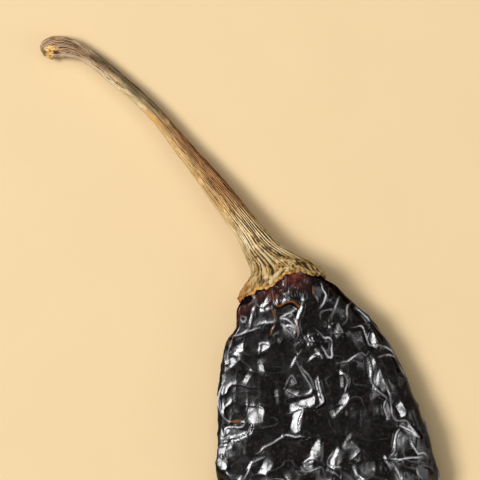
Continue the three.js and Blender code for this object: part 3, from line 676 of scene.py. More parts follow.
def pod_skin():
    """The wrinkled skin: points (rings, sides, 3) in plan millimetres, with its masks."""
    grain, coarsens = POD_GRAIN["shown"], (TRACED["to"], TRACED["to"] + POD_GRAIN["change"])
    at = spread(
        POD_SECTIONS["at"][0],
        POD_SECTIONS["at"][-1],
        lambda x: mix(grain, POD_GRAIN["hidden"], smooth(x, *coarsens)),
    )
    at, angle = np.meshgrid(at, girth_angles(), indexing="ij")
    point, normal = pod_form(at, angle)
    across, down = point[..., 0], -point[..., 1]
    traced = panels()
    net, edge, strength = net_relief(point, net_seeds())
    high = np.sin(angle)
    upper = smooth(high, -0.4, -0.05) * (1 - smooth(down, TRACED["from"], TRACED["to"]))

    # Points near a crest move onto it, so that the mesh has an edge there
    _, way, _ = crest_feet(across, down)
    length = np.linalg.norm(way, axis=-1)
    snap = (upper * (1 - smooth(length, SNAP[0] * grain, SNAP[1] * grain)))[..., None] * way
    rise = sample(traced["slope_across"], across, down) * snap[..., 0]
    rise += sample(traced["slope_down"], across, down) * snap[..., 1]
    point = point + np.stack([snap[..., 0], -snap[..., 1], np.clip(rise, -0.3, 0.3)], -1)
    across, down = point[..., 0], -point[..., 1]
    crest_distance, _, crest_weight = crest_feet(across, down)
    shown = 1 - smooth(down, TRACED["from"], TRACED["to"])

    # The relief along the normals: the net, a slow swell, the walls' pleats and fine creases
    relief = (1 - upper) * mix(1.0, 0.5, shown) * (net - 1.1)
    raised = upper * sample(traced["relief"], across, down)
    swell = 0.7 * np.sin(0.21 * across - 0.12 * down + 1.3) * np.sin(-0.17 * down - 0.1 * across + 0.4)
    relief += swell * mix(1, 0.3, upper)
    relief += bell(high, 0, 0.3) * shown * (0.6 * creases(point, "wall") - 0.25)
    crumple = 0.5 * (creases(point, "crumple") - 0.3)
    pleats = creases(point, "pleats")
    fine = creases(point, "fine")
    busy = mix(0.35, 1, smooth(noise(point, 9, 7), 0.35, 0.65)) * mix(1, 0.6, upper)
    folds = 1.0 * (noise(point * [1, 0.8, 1.4], 5.0, 45) - 0.5) + 0.7 * (noise(point, 2.8, 46) - 0.5)
    relief += crumple * mix(1.0, 0.15, upper) + busy * shown * (0.25 * pleats + 0.05 * (fine - 0.4))
    relief += (1 - shown) * folds

    # The skin puckers under the calyx's lip, and calms down where it goes into it and by the tip
    lip = plan(LIP_LINE)
    below_lip = down - np.interp(across, lip[:, 0], lip[:, 1])
    sideways = PUCKERED["narrows"] * np.abs(across - PUCKERED["middle"])
    puckered = upper * smooth(below_lip, *PUCKERED["into"])
    puckered = puckered * (1 - smooth(below_lip + sideways, *PUCKERED["out"]))
    pucker = creases(point, "pucker") + 0.35 * creases(point, "small_pucker")
    calm = mix(CALM["least"], 1, smooth(pod_value("left", at), CALM["narrow"], CALM["wide"]))
    calm_above = smooth(below_lip, -0.3, 1.4) * mix(calm, 1, 0.75)
    calm = mix(0.2, 1, mix(smooth(at, 2, 6) * calm, calm_above, upper))
    skin = point + normal * (relief * calm)[..., None]
    skin[..., 2] += raised * calm + 0.32 * puckered * (pucker - 0.6)
    shoulder = sum(depth * bell(down, middle, reach) for middle, reach, depth in SHOULDER)
    skin[..., 0] -= shoulder * smooth(-np.cos(angle), 0.3, 0.9)

    # The underside is pressed flat on the surface round the spot that the pod rests on
    below = high < 0
    from_spot = np.hypot(across - REST_SPOT["across"], down - REST_SPOT["down"])
    lift = smooth(from_spot, REST_SPOT["radius"], REST_SPOT["reach"])
    low = mix(REST_SPOT["pressed"], REST_SPOT["lifted"], lift)
    skin[..., 2] = np.where(below, np.minimum(skin[..., 2], low), skin[..., 2])
    skin[..., 2] = np.maximum(skin[..., 2], 0)

    # Masks for the material: pale crests (part wear, part painted highlight), a painted highlight along
    # the right rim, orange edges, ruddy and bright skin, painted shade under the calyx's lobe, and dull
    # steep walls
    # Patches of the pale crest tint: part wear, part painted highlight
    wear_and_highlight = mix(0.3, 1.3, smooth(noise(point, 2.4, 8), 0.3, 0.7))
    on_crest = crest_weight * bell(crest_distance, 0, CREST_LINE)
    on_net = 0.2 * strength * bell(edge, 0, 0.5) * smooth(high, -0.3, 0.2)
    crest = mix(on_net, on_crest, upper)
    crest = np.maximum(crest, 0.15 * busy * shown * smooth(pleats, 0.8, 0.97)) * wear_and_highlight
    orange = sample(traced["orange"], across, down) * upper
    patchy = 3.0 * (noise(point, 2.2, 31) - 0.5)
    ruddy = between(below_lip + patchy, out=RUDDY["below_lip"]) * between(across, out=RUDDY["across"])
    bright = ruddy * bell(across, *BRIGHT_SKIN["across"]) * bell(below_lip, *BRIGHT_SKIN["below_lip"])
    bright *= smooth(noise(point, 0.9, 51), 0.28, 0.6)
    # Painted shade under the calyx's lobe: the skin there keeps its darkest colour and no gloss
    lobe_shade = bell(across, *LOBE_SHADE_SPOT["across"]) * bell(down, *LOBE_SHADE_SPOT["down"])
    lobe_shade = smooth(lobe_shade * upper, 0.25, 0.6)
    ruddy = mix(between(at + patchy, out=RUDDY["underneath"]), ruddy, upper)
    steep = (1 - smooth(levelness(skin), *DULL_TO_GLOSSY)) * upper * smooth(high, 0.1, 0.3)
    steep = np.maximum(steep, mix(0.82, 0.0, smooth(high, -0.02, 0.34)))
    steep = np.maximum(steep, np.maximum(lobe_shade, 0.7 * orange))
    # A pale line along the right rim: a painted highlight, drawn with the crest tint
    rim = bell(high, 0.1, 0.05) * (np.cos(angle) > 0) * smooth(down, 2, 8)
    crest = np.maximum(crest, 0.4 * rim * wear_and_highlight) * (1 - np.clip(1.6 * orange, 0, 1))
    # The painted shade under the lobe takes the ruddy colour away
    ruddy = ruddy * (1 - lobe_shade)
    masks = {"crest": crest, "orange": orange, "ruddy": ruddy, "bright": bright, "steep": steep}
    return {"points": skin, "masks": masks}


def to_frame(points):
    """Plan millimetres (x across, y up, z high) as metres in the row frame."""
    low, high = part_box("stem_with_calyx")
    shift = np.array([low.x / MM + STEM_REACH["left"], high.y / MM - STEM_REACH["up"], 0.0])
    return (np.asarray(points, float) + shift) * MM


def closed_skin(name, first_pole, shape, last_pole):
    """A closed mesh over a shape's rings of points with a lone point at each end, and its masks."""
    rings = shape["points"]
    count, sides = rings.shape[:2]
    points = np.concatenate([[first_pole], rings.reshape(-1, 3), [last_pole]])
    places = 1 + np.arange(count * sides).reshape(count, sides)
    ahead = np.roll(places, -1, axis=1)
    quads = np.stack([places[:-1], ahead[:-1], ahead[1:], places[1:]], -1).reshape(-1, 4)
    first = np.stack([np.zeros(sides, int), ahead[0], places[0]], -1)
    last = np.stack([np.full(sides, len(points) - 1), places[-1], ahead[-1]], -1)
    mesh = bpy.data.meshes.new(name)
    loops = np.concatenate([quads.ravel(), first.ravel(), last.ravel()])
    sizes = np.concatenate([np.full(len(quads), 4), np.full(2 * sides, 3)])
    mesh.vertices.add(len(points))
    mesh.vertices.foreach_set("co", to_frame(points).astype(np.float32).ravel())
    mesh.loops.add(len(loops))
    mesh.loops.foreach_set("vertex_index", loops.astype(np.int32))
    mesh.polygons.add(len(sizes))
    mesh.polygons.foreach_set("loop_start", (np.cumsum(sizes) - sizes).astype(np.int32))
    mesh.update(calc_edges=True)
    mesh.validate()
    for label, values in shape["masks"].items():
        flat = np.concatenate([[values.flat[0]], values.ravel(), [values.flat[-1]]])
        attribute = mesh.attributes.new(label, "FLOAT", "POINT")
        attribute.data.foreach_set("value", flat.astype(np.float32))
    mesh.shade_smooth()
    piece = bpy.data.objects.new(name, mesh)
    bpy.context.scene.collection.objects.link(piece)
    return piece


# The stem's sections from the hooked, broken end to the rim of the calyx: the two side lines in
# plan, the height of the middle, the half thickness and the pitch in degrees
STEM_SECTIONS = {
    "left": [
        (-57.2, -55.2), (-56.6, -55.8), (-55.8, -55.9), (-54.5, -55.8), (-53.2, -55.8), (-50.0, -55.1),
        (-46.5, -52.7), (-41.5, -48.5), (-36.8, -44.6), (-32.0, -39.8), (-27.1, -33.2), (-22.4, -27.1),
        (-17.8, -20.4), (-13.8, -14.8), (-10.5, -9.9), (-8.5, -5.1), (-7.4, -1.5), (-8.5, 1.0),
        (-9.9, 2.6), (-11.0, 5.0),
    ],
    "right": [
        (-59.4, -56.4), (-60.4, -58.5), (-59.2, -60.4), (-56.2, -61.4), (-52.2, -60.7), (-48.5, -58.6),
        (-44.2, -55.5), (-39.0, -51.2), (-34.0, -46.8), (-29.0, -41.8), (-23.4, -35.4), (-18.2, -29.8),
        (-12.9, -23.9), (-8.0, -17.9), (-3.8, -12.9), (0.0, -9.1), (4.0, -6.6), (7.8, -4.6), (10.1, -3.2),
        (11.5, -1.9),
    ],
    "mid": [
        3.0, 3.0, 3.1, 3.1, 3.2, 3.3, 3.5, 3.8, 4.1, 4.4, 4.9, 5.5, 6.2, 7.0, 7.8, 8.6, 9.2, 9.7, 9.9,
        10.0,
    ],
    "half": [
        1.2, 2.0, 2.5, 2.5, 2.3, 1.8, 1.75, 1.8, 1.8, 1.85, 2.1, 2.4, 2.9, 3.2, 3.6, 4.5, 5.6, 6.7, 7.5,
        8.0,
    ],
    "pitch": [0, 0, 0, 0, 1, 2, 3, 3, 3, 4, 5, 6, 8, 11, 14, 18, 21, 23, 24, 24],
}

# How deep the calyx's cup is closed inside, the gap that the pod's neck keeps there, and how far
# the pod's tip stands past its last section
CUP_DEPTH = 1.4
CUP_GAP = 0.4
TIP_LENGTH = 0.58

# The stem's grain: how wide it is laid round the stem and how stretched along it, the number of
# ribs, the sizes of finer fibres, and how far each stands up, in millimetres
FIBRE = {"round": 2.6, "stretch": 0.045, "ribs": 38, "fine": 0.30, "hair": 0.13}
FIBRE_RISE = {"rib": 0.36, "fine": 0.2, "hair": 0.08, "half_rib": 0.16}

# The ragged edge of the calyx: how far it is torn in millimetres, over what size, and the seed
RAGGED = [(1.2, 0.9, 15), (0.9, 0.35, 25), (0.6, 0.16, 27)]

# The lip turned inwards: its size beside the rim's, and how far inside the calyx it has come
LIP_PROFILE = {
    "scale": [1.0, 0.995, 0.98, 0.955, 0.93, 0.90, 0.78, 0.4],
    "ahead": [0, 0.3, 0.55, 0.6, 0.3, -0.4, -1.0, -1.4],
}
LIP_RINGS = 26

# The stem's stains, and the painted shade down its right side, by the photograph's rows, in pixels: where
# each fades in and where it fades out
STAIN_ROWS = {
    "mauve": {"out": (52, 92)},
    "olive": {"into": (44, 62), "out": (104, 128)},
    "stain": {"into": (116, 142), "out": (188, 222)},
    # Painted shade down the stem's right side
    "right_side_shade": {"into": (60, 85), "out": (215, 250)},
    "golden": {"into": (96, 124), "out": (205, 235)},
    "ochre": {"into": (60, 100)},
    "grey": {"into": (232, 262)},
    "cap": {"into": (232, 256)},
}

# The side a stain or the painted shade is on (1 right, -1 left), how far patches shift its edge, and the
# cosines of the angle from that side at which it starts and is full
STAIN_SIDES = {
    "olive": (1, 0.5, (-0.15, 0.45)),
    "stain": (1, 0.5, (-0.35, 0.3)),
    # Painted shade on the stem's right side
    "right_side_shade": (1, 0.3, (0.5, 0.9)),
    "ochre": (-1, 0.6, (0.45, 0.9)),
    "grey": (1, 0.6, (0.35, 0.8)),
}

# Stains on the calyx's lip, in the photograph's pixels
LIP_STAINS = {
    "rust": ({"out": (243, 264)}, {"into": (274, 288)}),
    "dull": ({"into": (278, 300)}, {"into": (230, 260)}),
}

# Single marks in the photograph's pixels: the middle, the reach, and how far patches move it
YELLOW_SPOT = ((151, 119), (7.07, 7.07), (0, 0))
PITH = [((50.5, 48), (8.5, 3.0), (3, 3)), ((49, 54), (5.2, 5.5), (4, 0))]
NOTCH = ((57, 52.5), (4.5, 2.2), (6, 3))


def stem_side(side, knots, s):
    """A side line of the stem in plan, read at the sections' places s."""
    line = np.asarray(STEM_SECTIONS[side], float)
    return np.stack([through(knots, line[:, k], s) for k in range(2)], -1) * [1, -1]


def stem_frames(share):
    """Centres, axes and reaches of the stem's sections at an array of shares of its length."""
    count = len(STEM_SECTIONS["mid"])
    knots, s = np.arange(count), share * (count - 1)
    left, right = stem_side("left", knots, s), stem_side("right", knots, s)
    lean = np.arctan2(right[..., 1] - left[..., 1], right[..., 0] - left[..., 0])
    rightwards, up = section_axes(lean, np.radians(through(knots, STEM_SECTIONS["pitch"], s)))
    mid = through(knots, STEM_SECTIONS["mid"], s)
    return {
        "centre": np.concatenate([(left + right) / 2, mid[..., None]], -1),
        "right": rightwards,
        "up": up,
        "along": np.cross(up, rightwards),
        "wide": np.linalg.norm(right - left, axis=-1) / 2,
        "half": through(knots, STEM_SECTIONS["half"], s),
    }


def stem_zones(points, side):
    """Where the stem's colours change, by the photograph's pixels: masks from 0 to 1."""
    pixel_x = points[..., 0] / PIXEL + NECK_PIXEL[0]
    pixel_y = NECK_PIXEL[1] - points[..., 1] / PIXEL
    patchy = noise(points, 1.8, 41) - 0.5

    def mark(middle, reach, moved):
        across = bell(pixel_x + moved[0] * patchy, middle[0], reach[0])
        return across * bell(pixel_y + moved[1] * patchy, middle[1], reach[1])

    zones = {name: between(pixel_y + 14 * patchy, **rows) for name, rows in STAIN_ROWS.items()}
    for name, (sign, shift, span) in STAIN_SIDES.items():
        zones[name] = zones[name] * smooth(sign * side + shift * patchy, *span)
    for name, (columns, rows) in LIP_STAINS.items():
        zones[name] = between(pixel_x + 10 * patchy, **columns) * between(pixel_y, **rows)
    zones["yellow"] = mark(*YELLOW_SPOT) * smooth(-side, 0.2, 0.6)
    zones["pith"] = smooth(np.maximum(mark(*PITH[0]), mark(*PITH[1])), 0.35, 0.6)
    zones["notch"] = smooth(mark(*NOTCH), 0.3, 0.7)
    return zones


def stem_skin():
    """The ribbed stem and calyx: points (rings, sides, 3) in plan millimetres, with its masks."""
    dense = np.linspace(0, 1, 3000)
    travel = np.linalg.norm(np.diff(stem_frames(dense)["centre"], axis=0), axis=1)
    travel = np.concatenate([[0], np.cumsum(travel)])
    along = np.linspace(0, travel[-1], STEM_GRID["rings"])
    share = np.interp(along, travel, dense)
    frames = stem_frames(share)
    angle = np.linspace(0, 2 * np.pi, STEM_GRID["sides"], endpoint=False)
    share, angle = np.meshgrid(share, angle, indexing="ij")
    along = np.broadcast_to(along[:, None], share.shape)
    sway = 0.05 * np.sin(0.2 * along + 2 * np.sin(angle))
    twist = angle + 0.010 * along + sway
    grain = [np.cos(twist) * FIBRE["round"], np.sin(twist) * FIBRE["round"], along * FIBRE["stretch"]]
    grain = np.stack(grain, -1)
    wander = 2.2 * (noise(grain, 1.4, 11) - 0.5) + 1.2 * (noise(grain * [1, 1, 3], 0.7, 12) - 0.5)
    flare = smooth(share, 0.74, 0.93)
    rib = 1 - np.abs(np.sin(FIBRE["ribs"] / 2 * (twist + mix(0.06, 0.045, flare) * wander)))
    strong = 0.55 + 0.45 * noise(grain, 0.9, 18)
    half_rib = 1 - np.abs(np.sin(FIBRE["ribs"] * (twist + 0.04 * wander) + 1.3))
    fine = ridges(grain * [1, 1, 2], FIBRE["fine"], 13)
    hair = ridges(grain * [1, 1, 4], FIBRE["hair"], 19)
    height = FIBRE_RISE["rib"] * strong * (rib - 0.4) + FIBRE_RISE["fine"] * (fine**1.5 - 0.4)
    height = height + FIBRE_RISE["hair"] * (hair - 0.5)
    height += FIBRE_RISE["half_rib"] * flare * (half_rib - 0.4)
    by_end = mix(0.5, 1, smooth(share, 0.02, 0.12))
    by_lip = mix(1, 0.35, smooth(share, 0.955, 0.995))
    height *= mix(1.0, 1.5, flare) * by_end * by_lip

    # Down the calyx the ribs give way to coarse lumps, sooner on the right
    lumps = 0.6 * noise(grain * [1, 1, 16], 0.7, 14) + 0.4 * noise(grain * [1, 1, 16], 0.3, 24) - 0.5
    cos_side = np.cos(angle)
    rightward = smooth(cos_side + 0.5 * lumps, -0.15, 0.35)
    coarse = smooth(share + 0.04 * lumps, mix(0.915, 0.84, rightward), mix(0.965, 0.91, rightward))
    height = mix(height, 0.9 * lumps + 0.5 * (hair - 0.5), 0.8 * coarse)
    height += 0.3 * lumps * smooth(share, 0.93, 0.99)
    cos, sin = cos_side[..., None], np.sin(angle)[..., None]
    wide, half = frames["wide"][:, None, None], frames["half"][:, None, None]
    rightwards, up = frames["right"][:, None], frames["up"][:, None]
    outward = rightwards * cos * half + up * sin * wide
    outward /= np.linalg.norm(outward, axis=-1, keepdims=True)
    points = frames["centre"][:, None] + rightwards * cos * wide + up * sin * half
    points = points + outward * (height - mix(0.2, 0.55, flare))[..., None]

    # The calyx's upper edge is drawn to the photograph's, and torn
    direction = frames["along"][-1]
    rim = points[-1]
    lip = plan(LIP_LINE)
    travel_to_lip = (-np.interp(rim[:, 0], lip[:, 0], lip[:, 1]) - rim[:, 1]) / direction[1]
    travel_to_lip = np.clip(travel_to_lip, -2.5, 2.5) * smooth(np.sin(angle[-1]), 0.0, 0.3)
    ragged = travel_to_lip
    for reach, size, seed in RAGGED:
        ragged = ragged + reach * (noise(grain[-1], size, seed) - 0.5)
    points += direction * (smooth(share, 0.88, 1.0) ** 2 * ragged)[..., None]
    rim = points[-1]
    middle = rim.mean(0)

    # Masks for the material: pale ribs, darker on the right side and lighter on the left as painted shade
    # and light, the grain's own coordinates, the lip, the stains, the painted shade down the right side
    # and the painted shade in the calyx's cup
    bundle = mix(rib**1.3, 1.1 * (0.42 * rib + 0.58 * half_rib) ** 1.25, flare)
    streaks_and_side_shade = 0.72 * strong * bundle + 0.3 * fine**2 + 0.33 * hair - mix(0.095, 0.09, flare)
    # Painted shade and light: the streaks darken on the stem's right side and lighten on its left
    streaks_and_side_shade -= 0.11 * cos_side * mix(1.0, 0.35, flare)
    masks = {
        "rib": np.clip(mix(streaks_and_side_shade, 0.36 + 0.9 * lumps + 0.5 * (hair - 0.5), coarse), 0, 1),
        "grain_x": grain[..., 0],
        "grain_y": grain[..., 1],
        "grain_z": grain[..., 2],
        "lip": smooth(share, 0.992, 1.0),
        "cup_shade": np.zeros(share.shape),
        **stem_zones(points, cos_side),
    }

    # The lip turns inwards, shredded, and runs up into the calyx's cup
    knots = np.arange(len(LIP_PROFILE["scale"]))
    steps = np.linspace(0, knots[-1], LIP_RINGS + 1)[1:]
    scale = through(knots, LIP_PROFILE["scale"], steps)[:, None, None]
    ahead = through(knots, LIP_PROFILE["ahead"], steps)[:, None, None]
    inner = middle + (rim - middle) * scale - direction * ahead
    shred = noise(inner, 1.1, 16) - 0.5 + 0.6 * (noise(inner, 0.5, 17) - 0.5)
    inner += (inner - middle) * (0.06 * shred)[..., None] - direction * (0.8 * shred)[..., None]
    end = {name: np.repeat(values[-1:], LIP_RINGS, 0) for name, values in masks.items()}
    end["lip"] = np.broadcast_to(1 - smooth(steps, 4.3, 5.0)[:, None], shred.shape)
    # Painted shade where the lip runs up into the calyx's cup
    end["cup_shade"] = np.broadcast_to(smooth(steps, 3.6, 5.0)[:, None], shred.shape)
    end["rib"] = np.clip(0.5 + shred, 0, 1)
    masks = {name: np.concatenate([values, end[name]]) for name, values in masks.items()}
    return {
        "points": np.concatenate([points, inner]),
        "masks": masks,
        "first": frames["centre"][0],
        "middle": middle,
        "direction": direction,
    }


def node(tree, kind, **values):
    """A new node with its settings."""
    made = tree.nodes.new(kind)
    for key, value in values.items():
        setattr(made, key, value)
    return made


def link(tree, source, target):
    tree.links.new(source, target)


def ramp(tree, factor, stops):
    """A colour ramp fed by factor, with (place, colour) stops."""
    made = node(tree, "ShaderNodeValToRGB")
    elements = made.color_ramp.elements
    while len(elements) < len(stops):
        elements.new(0.5)
    for element, (place, colour) in zip(elements, stops):
        element.position = place
        element.color = (*colour, 1)
    link(tree, factor, made.inputs["Fac"])
    return made.outputs["Color"]


def blend_colours(tree, factor, first, second, kind="MIX"):
    """A colour mix; first and second are sockets or plain colours."""
    made = node(tree, "ShaderNodeMix", data_type="RGBA", blend_type=kind)
    sockets = (made.inputs["Factor"], made.inputs[6], made.inputs[7])
    for socket, value in zip(sockets, (factor, first, second)):
        if isinstance(value, bpy.types.NodeSocket):
            link(tree, value, socket)
        elif isinstance(value, (int, float)):
            socket.default_value = value
        else:
            socket.default_value = (*value, 1)
    return made.outputs[2]


def calculate(tree, operation, *values):
    """A maths node over sockets or plain numbers."""
    made = node(tree, "ShaderNodeMath", operation=operation)
    for socket, value in zip(made.inputs, values):
        if isinstance(value, bpy.types.NodeSocket):
            link(tree, value, socket)
        else:
            socket.default_value = value
    return made.outputs[0]


def mottle_group():
    """The soft mottling that every material uses: noise over the object's own coordinates."""
    group = bpy.data.node_groups.new("mottle", "ShaderNodeTree")
    noise_texture = node(group, "ShaderNodeTexNoise", noise_dimensions="3D")
    given, result = node(group, "NodeGroupInput"), node(group, "NodeGroupOutput")
    for name in ("Scale", "Detail", "Roughness"):
        group.interface.new_socket(name, in_out="INPUT", socket_type="NodeSocketFloat")
        link(group, given.outputs[name], noise_texture.inputs[name])
    group.interface.new_socket("Mottle", in_out="OUTPUT", socket_type="NodeSocketFloat")
    coordinates = node(group, "ShaderNodeTexCoord").outputs["Object"]
    link(group, coordinates, noise_texture.inputs["Vector"])
    link(group, noise_texture.outputs["Fac"], result.inputs["Mottle"])
    return group


def spots(tree, size, detail=3.0, rough=0.55):
    """Mottling with spots of the given size in millimetres."""
    made = node(tree, "ShaderNodeGroup", node_tree=mottle)
    made.inputs["Scale"].default_value = 1 / (size * MM)
    made.inputs["Detail"].default_value = detail
    made.inputs["Roughness"].default_value = rough
    return made.outputs["Mottle"]


def mask(tree, name, amount=None):
    """One of the mesh's masks, at full strength or times an amount."""
    found = node(tree, "ShaderNodeAttribute", attribute_name=name).outputs["Fac"]
    return found if amount is None else calculate(tree, "MULTIPLY", found, amount)


def new_material(name, **sockets):
    """A material with plain values on its shader's sockets: the material, its tree and its shader."""
    material = bpy.data.materials.new(name)
    material.use_nodes = True
    shader = material.node_tree.nodes["Principled BSDF"]
    for key, value in sockets.items():
        shader.inputs[key.replace("_", " ")].default_value = value
    return material, material.node_tree, shader


def bump(tree, shader, height, strength, distance):
    """Fine relief on a shader's normal."""
    made = node(tree, "ShaderNodeBump")
    made.inputs["Strength"].default_value = strength
    made.inputs["Distance"].default_value = distance
    link(tree, height, made.inputs["Height"])
    link(tree, made.outputs["Normal"], shader.inputs["Normal"])


def pod_material():
    """Glossy black-brown skin with brown specks, ruddy by the calyx, with pale crests that are part wear
    and part painted highlight, a painted highlight along the right rim, bare orange edges and dull steep
    walls."""
    material, tree, shader = new_material("pod_skin", IOR=1.5, Coat_Roughness=0.1)
    specks = spots(tree, 0.8, 5.0, 0.75)
    colour = ramp(tree, specks, [
        (0.40, (0.0010, 0.0008, 0.0008)), (0.57, (0.0065, 0.0045, 0.0043)), (0.75, (0.062, 0.035, 0.027)),
    ])
    warm = ramp(tree, spots(tree, 1.4, 4.0, 0.65), [
        (0.35, (0.012, 0.003, 0.0026)), (0.53, (0.058, 0.011, 0.008)), (0.72, (0.18, 0.040, 0.018)),
    ])
    colour = blend_colours(tree, mask(tree, "ruddy"), colour, warm)
    colour = blend_colours(tree, mask(tree, "bright"), colour, (0.22, 0.035, 0.015))
    # Pale crests, part wear and part painted highlight; the same tint draws the painted highlight along
    # the right rim
    colour = blend_colours(tree, mask(tree, "crest"), colour, (0.55, 0.54, 0.56))
    colour = blend_colours(tree, mask(tree, "orange"), colour, (0.27, 0.075, 0.008))
    link(tree, colour, shader.inputs["Base Color"])
    steep = mask(tree, "steep")
    gloss = calculate(tree, "POWER", calculate(tree, "SUBTRACT", 1.0, steep), 2.0)
    link(tree, calculate(tree, "MULTIPLY", gloss, 0.45), shader.inputs["Coat Weight"])
    link(tree, calculate(tree, "MULTIPLY", gloss, 0.5), shader.inputs["Specular IOR Level"])
    rough = ramp(tree, spots(tree, 2.4), [(0.3, (0.16,) * 3), (0.7, (0.33,) * 3)])
    rough = blend_colours(tree, steep, rough, (0.5, 0.5, 0.5))
    link(tree, rough, shader.inputs["Roughness"])
    finer = calculate(tree, "MULTIPLY", spots(tree, 0.22), 0.35)
    bump(tree, shader, calculate(tree, "ADD", spots(tree, 0.8), finer), 0.33, 0.1 * MM)
    return material


# The stem's stains, and the painted shade down its right side: the tint that its colour is multiplied by,
# and how much of it
STEM_TINTS = {
    "mauve": ((0.52, 0.385, 0.40), 0.7),
    "olive": ((0.28, 0.25, 0.16), 0.85),
    "stain": ((0.55, 0.32, 0.14), 0.8),
    "ochre": ((0.66, 0.58, 0.38), 0.75),
    "golden": ((0.88, 0.71, 0.47), 0.9),
    # Painted shade: the stem's right side darkened
    "right_side_shade": ((0.55, 0.44, 0.36), 0.75),
    "cap": ((0.66, 0.63, 0.55), 1.0),
    "grey": ((0.62, 0.62, 0.52), 0.6),
}


def stem_material():
    """Dry, ribbed wood: tan fibres, dark grooves, pale streaks, the stains the stem grew with, painted
    shade down the right side and painted shade in the calyx's cup.
    """
    material, tree, shader = new_material("dried_stem", Roughness=0.62)
    vector = node(tree, "ShaderNodeCombineXYZ")
    for socket, name in zip(vector.inputs, ("grain_x", "grain_y", "grain_z")):
        link(tree, mask(tree, name), socket)
    fibres = node(tree, "ShaderNodeTexNoise", noise_dimensions="3D")
    fibres.inputs["Scale"].default_value = 4.5
    fibres.inputs["Detail"].default_value = 4
    fibres.inputs["Roughness"].default_value = 0.6
    link(tree, vector.outputs[0], fibres.inputs["Vector"])
    fibre = fibres.outputs["Fac"]
    # The rib mask also carries the painted shade and light across the stem's sides
    shade = calculate(tree, "ADD", mask(tree, "rib"), calculate(tree, "MULTIPLY", fibre, 0.9))
    shade = calculate(tree, "MULTIPLY_ADD", shade, 2.1, -1.32)
    colour = ramp(tree, shade, [
        (0.10, (0.020, 0.010, 0.004)), (0.28, (0.10, 0.055, 0.014)), (0.44, (0.30, 0.17, 0.038)),
        (0.62, (0.50, 0.295, 0.068)), (0.82, (0.78, 0.56, 0.26)), (0.98, (0.88, 0.74, 0.50)),
    ])
    for name, (tint, amount) in STEM_TINTS.items():
        tinted = blend_colours(tree, 1.0, colour, tint, "MULTIPLY")
        colour = blend_colours(tree, mask(tree, name, amount), colour, tinted)
    colour = blend_colours(tree, mask(tree, "yellow", 0.8), colour, (0.75, 0.42, 0.08))
    raw = ramp(tree, spots(tree, 0.9, 4.0), [
        (0.32, (0.16, 0.055, 0.012)), (0.48, (0.55, 0.26, 0.045)),
        (0.6, (0.70, 0.42, 0.10)), (0.72, (0.72, 0.55, 0.27)),
    ])
    rusty = blend_colours(tree, 1.0, raw, (0.62, 0.38, 0.25), "MULTIPLY")
    raw = blend_colours(tree, mask(tree, "rust"), raw, rusty)
    dulled = blend_colours(tree, 1.0, raw, (0.5, 0.55, 0.7), "MULTIPLY")
    raw = blend_colours(tree, mask(tree, "dull", 0.85), raw, dulled)
    torn = ramp(tree, spots(tree, 0.5), [
        (0.38, (0.42, 0.17, 0.03)), (0.5, (0.80, 0.50, 0.12)), (0.62, (0.92, 0.74, 0.40)),
    ])
    colour = blend_colours(tree, mask(tree, "notch"), colour, (0.09, 0.040, 0.018))
    colour = blend_colours(tree, mask(tree, "pith"), colour, torn)
    colour = blend_colours(tree, mask(tree, "rust", 0.6), colour, (0.38, 0.17, 0.04))
    colour = blend_colours(tree, mask(tree, "lip"), colour, raw)
    # Painted shade: near black deep in the calyx's cup
    colour = blend_colours(tree, mask(tree, "cup_shade"), colour, (0.03, 0.012, 0.006))
    link(tree, colour, shader.inputs["Base Color"])
    height = calculate(tree, "ADD", fibre, calculate(tree, "MULTIPLY", spots(tree, 0.35), 0.4))
    bump(tree, shader, height, 0.6, 0.15 * MM)
    return material


def floor_material():
    """Matt peach paper, a little uneven."""
    material, tree, shader = new_material("peach_paper", Roughness=0.9)
    colour = ramp(tree, spots(tree, 30), [(0.3, (0.80, 0.595, 0.335)), (0.7, (0.815, 0.61, 0.345))])
    link(tree, colour, shader.inputs["Base Color"])
    return material


# Lights: azimuth in the picture's plane and elevation in degrees, distance and size in metres, and
# power in watts
KEY_SIDE = (KEY_LIGHT["azimuth"], KEY_LIGHT["elevation"])
LIGHTS = {
    "key": (*KEY_SIDE, 1.7, (0.57, 0.57), 21.5),
    "key_halo": (*KEY_SIDE, 2.0, (1.4, 1.4), 6.0),
    "soft_fill": (120, 75, 2.2, (2.2, 2.2), 15.0),
    "right_fill": (-15, 38, 1.6, (0.6, 0.9), 2.4),
    "right_sheen": (-5, 16, 1.6, (1.5, 0.5), 1.5),
    "glint_top": (85, 52, 1.5, (0.22, 0.22), 1.0),
    "glint_below": (-80, 48, 1.5, (0.22, 0.22), 0.7),
    "glint_right": (10, 50, 1.5, (0.16, 0.16), 0.4),
}


def area_light(name, azimuth, elevation, distance, size, power):
    """A soft light that looks at the aim from an azimuth in the picture's plane and an elevation."""
    light = bpy.data.lights.new(name, "AREA")
    light.shape = "RECTANGLE"
    light.size, light.size_y = size
    light.energy = power
    holder = bpy.data.objects.new(name, light)
    a, e = math.radians(azimuth), math.radians(elevation)
    back = Vector((math.cos(a) * math.cos(e), math.sin(a) * math.cos(e), math.sin(e)))
    holder.location = aim + back * distance
    holder.rotation_euler = back.to_track_quat("Z", "Y").to_euler()
    bpy.context.scene.collection.objects.link(holder)
    return holder


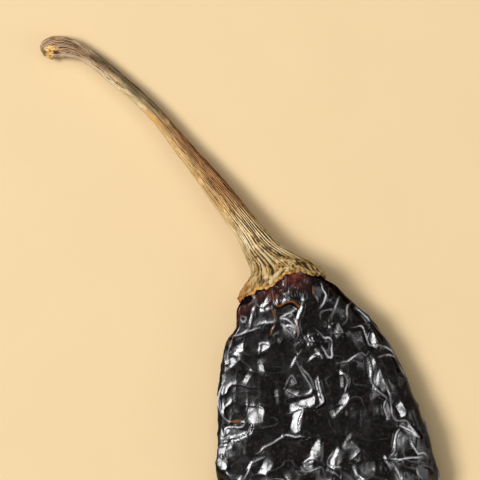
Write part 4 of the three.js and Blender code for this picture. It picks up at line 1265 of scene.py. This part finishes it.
mottle = mottle_group()
pod_shape = pod_skin()
tip_section = {key: values[-1] for key, values in POD_SECTIONS.items()}
pod_tip = np.array([tip_section["across"], -tip_section["at"] - TIP_LENGTH, tip_section["mid"]])
stem_shape = stem_skin()
pod_top = stem_shape["middle"] + stem_shape["direction"] * (CUP_DEPTH - CUP_GAP)
pod = closed_skin("pod_skin", pod_top, pod_shape, pod_tip)
pod.data.materials.append(pod_material())
stem_bottom = stem_shape["middle"] + stem_shape["direction"] * CUP_DEPTH
stem = closed_skin("dried_stem", stem_shape["first"], stem_shape, stem_bottom)
stem.data.materials.append(stem_material())

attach(pod, "root")
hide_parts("pod")
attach(stem, "root")
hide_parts("stem_with_calyx")

# The surface it lies on
floor_mesh = bpy.data.meshes.new("surface")
half_floor = 1.5
corners = [(x * half_floor, y * half_floor, 0) for x, y in ((-1, -1), (1, -1), (1, 1), (-1, 1))]
floor_mesh.from_pydata(corners, [], [(0, 1, 2, 3)])
floor = bpy.data.objects.new("surface", floor_mesh)
floor_mesh.materials.append(floor_material())
bpy.context.scene.collection.objects.link(floor)

# The camera looks straight down on the middle of the photograph's frame
picture_middle = plan((PICTURE_SIDE / 2, PICTURE_SIDE / 2))
aim_height = 8.0
aim = Vector(to_frame([picture_middle[0], -picture_middle[1], aim_height]))
camera_data = bpy.data.cameras.new("camera")
camera_data.sensor_width = 36
camera_data.lens = 240
camera = bpy.data.objects.new("camera", camera_data)
picture_width = PICTURE_SIDE * PIXEL * MM
camera_distance = picture_width * camera_data.lens / camera_data.sensor_width
camera.location = aim + Vector((0, 0, camera_distance))
bpy.context.scene.collection.objects.link(camera)
bpy.context.scene.camera = camera

# The soft fill leaves no reflection, and the right sheen is a reflection alone
lights = {name: area_light(name, *values) for name, values in LIGHTS.items()}
lights["soft_fill"].visible_glossy = False
lights["right_sheen"].visible_diffuse = False

world = bpy.data.worlds.new("studio")
world.use_nodes = True
background = world.node_tree.nodes["Background"]
background.inputs["Color"].default_value = (1, 0.97, 0.93, 1)
background.inputs["Strength"].default_value = 0.06
bpy.context.scene.world = world
bpy.context.scene.view_settings.view_transform = "Standard"

bpy.context.view_layer.update()
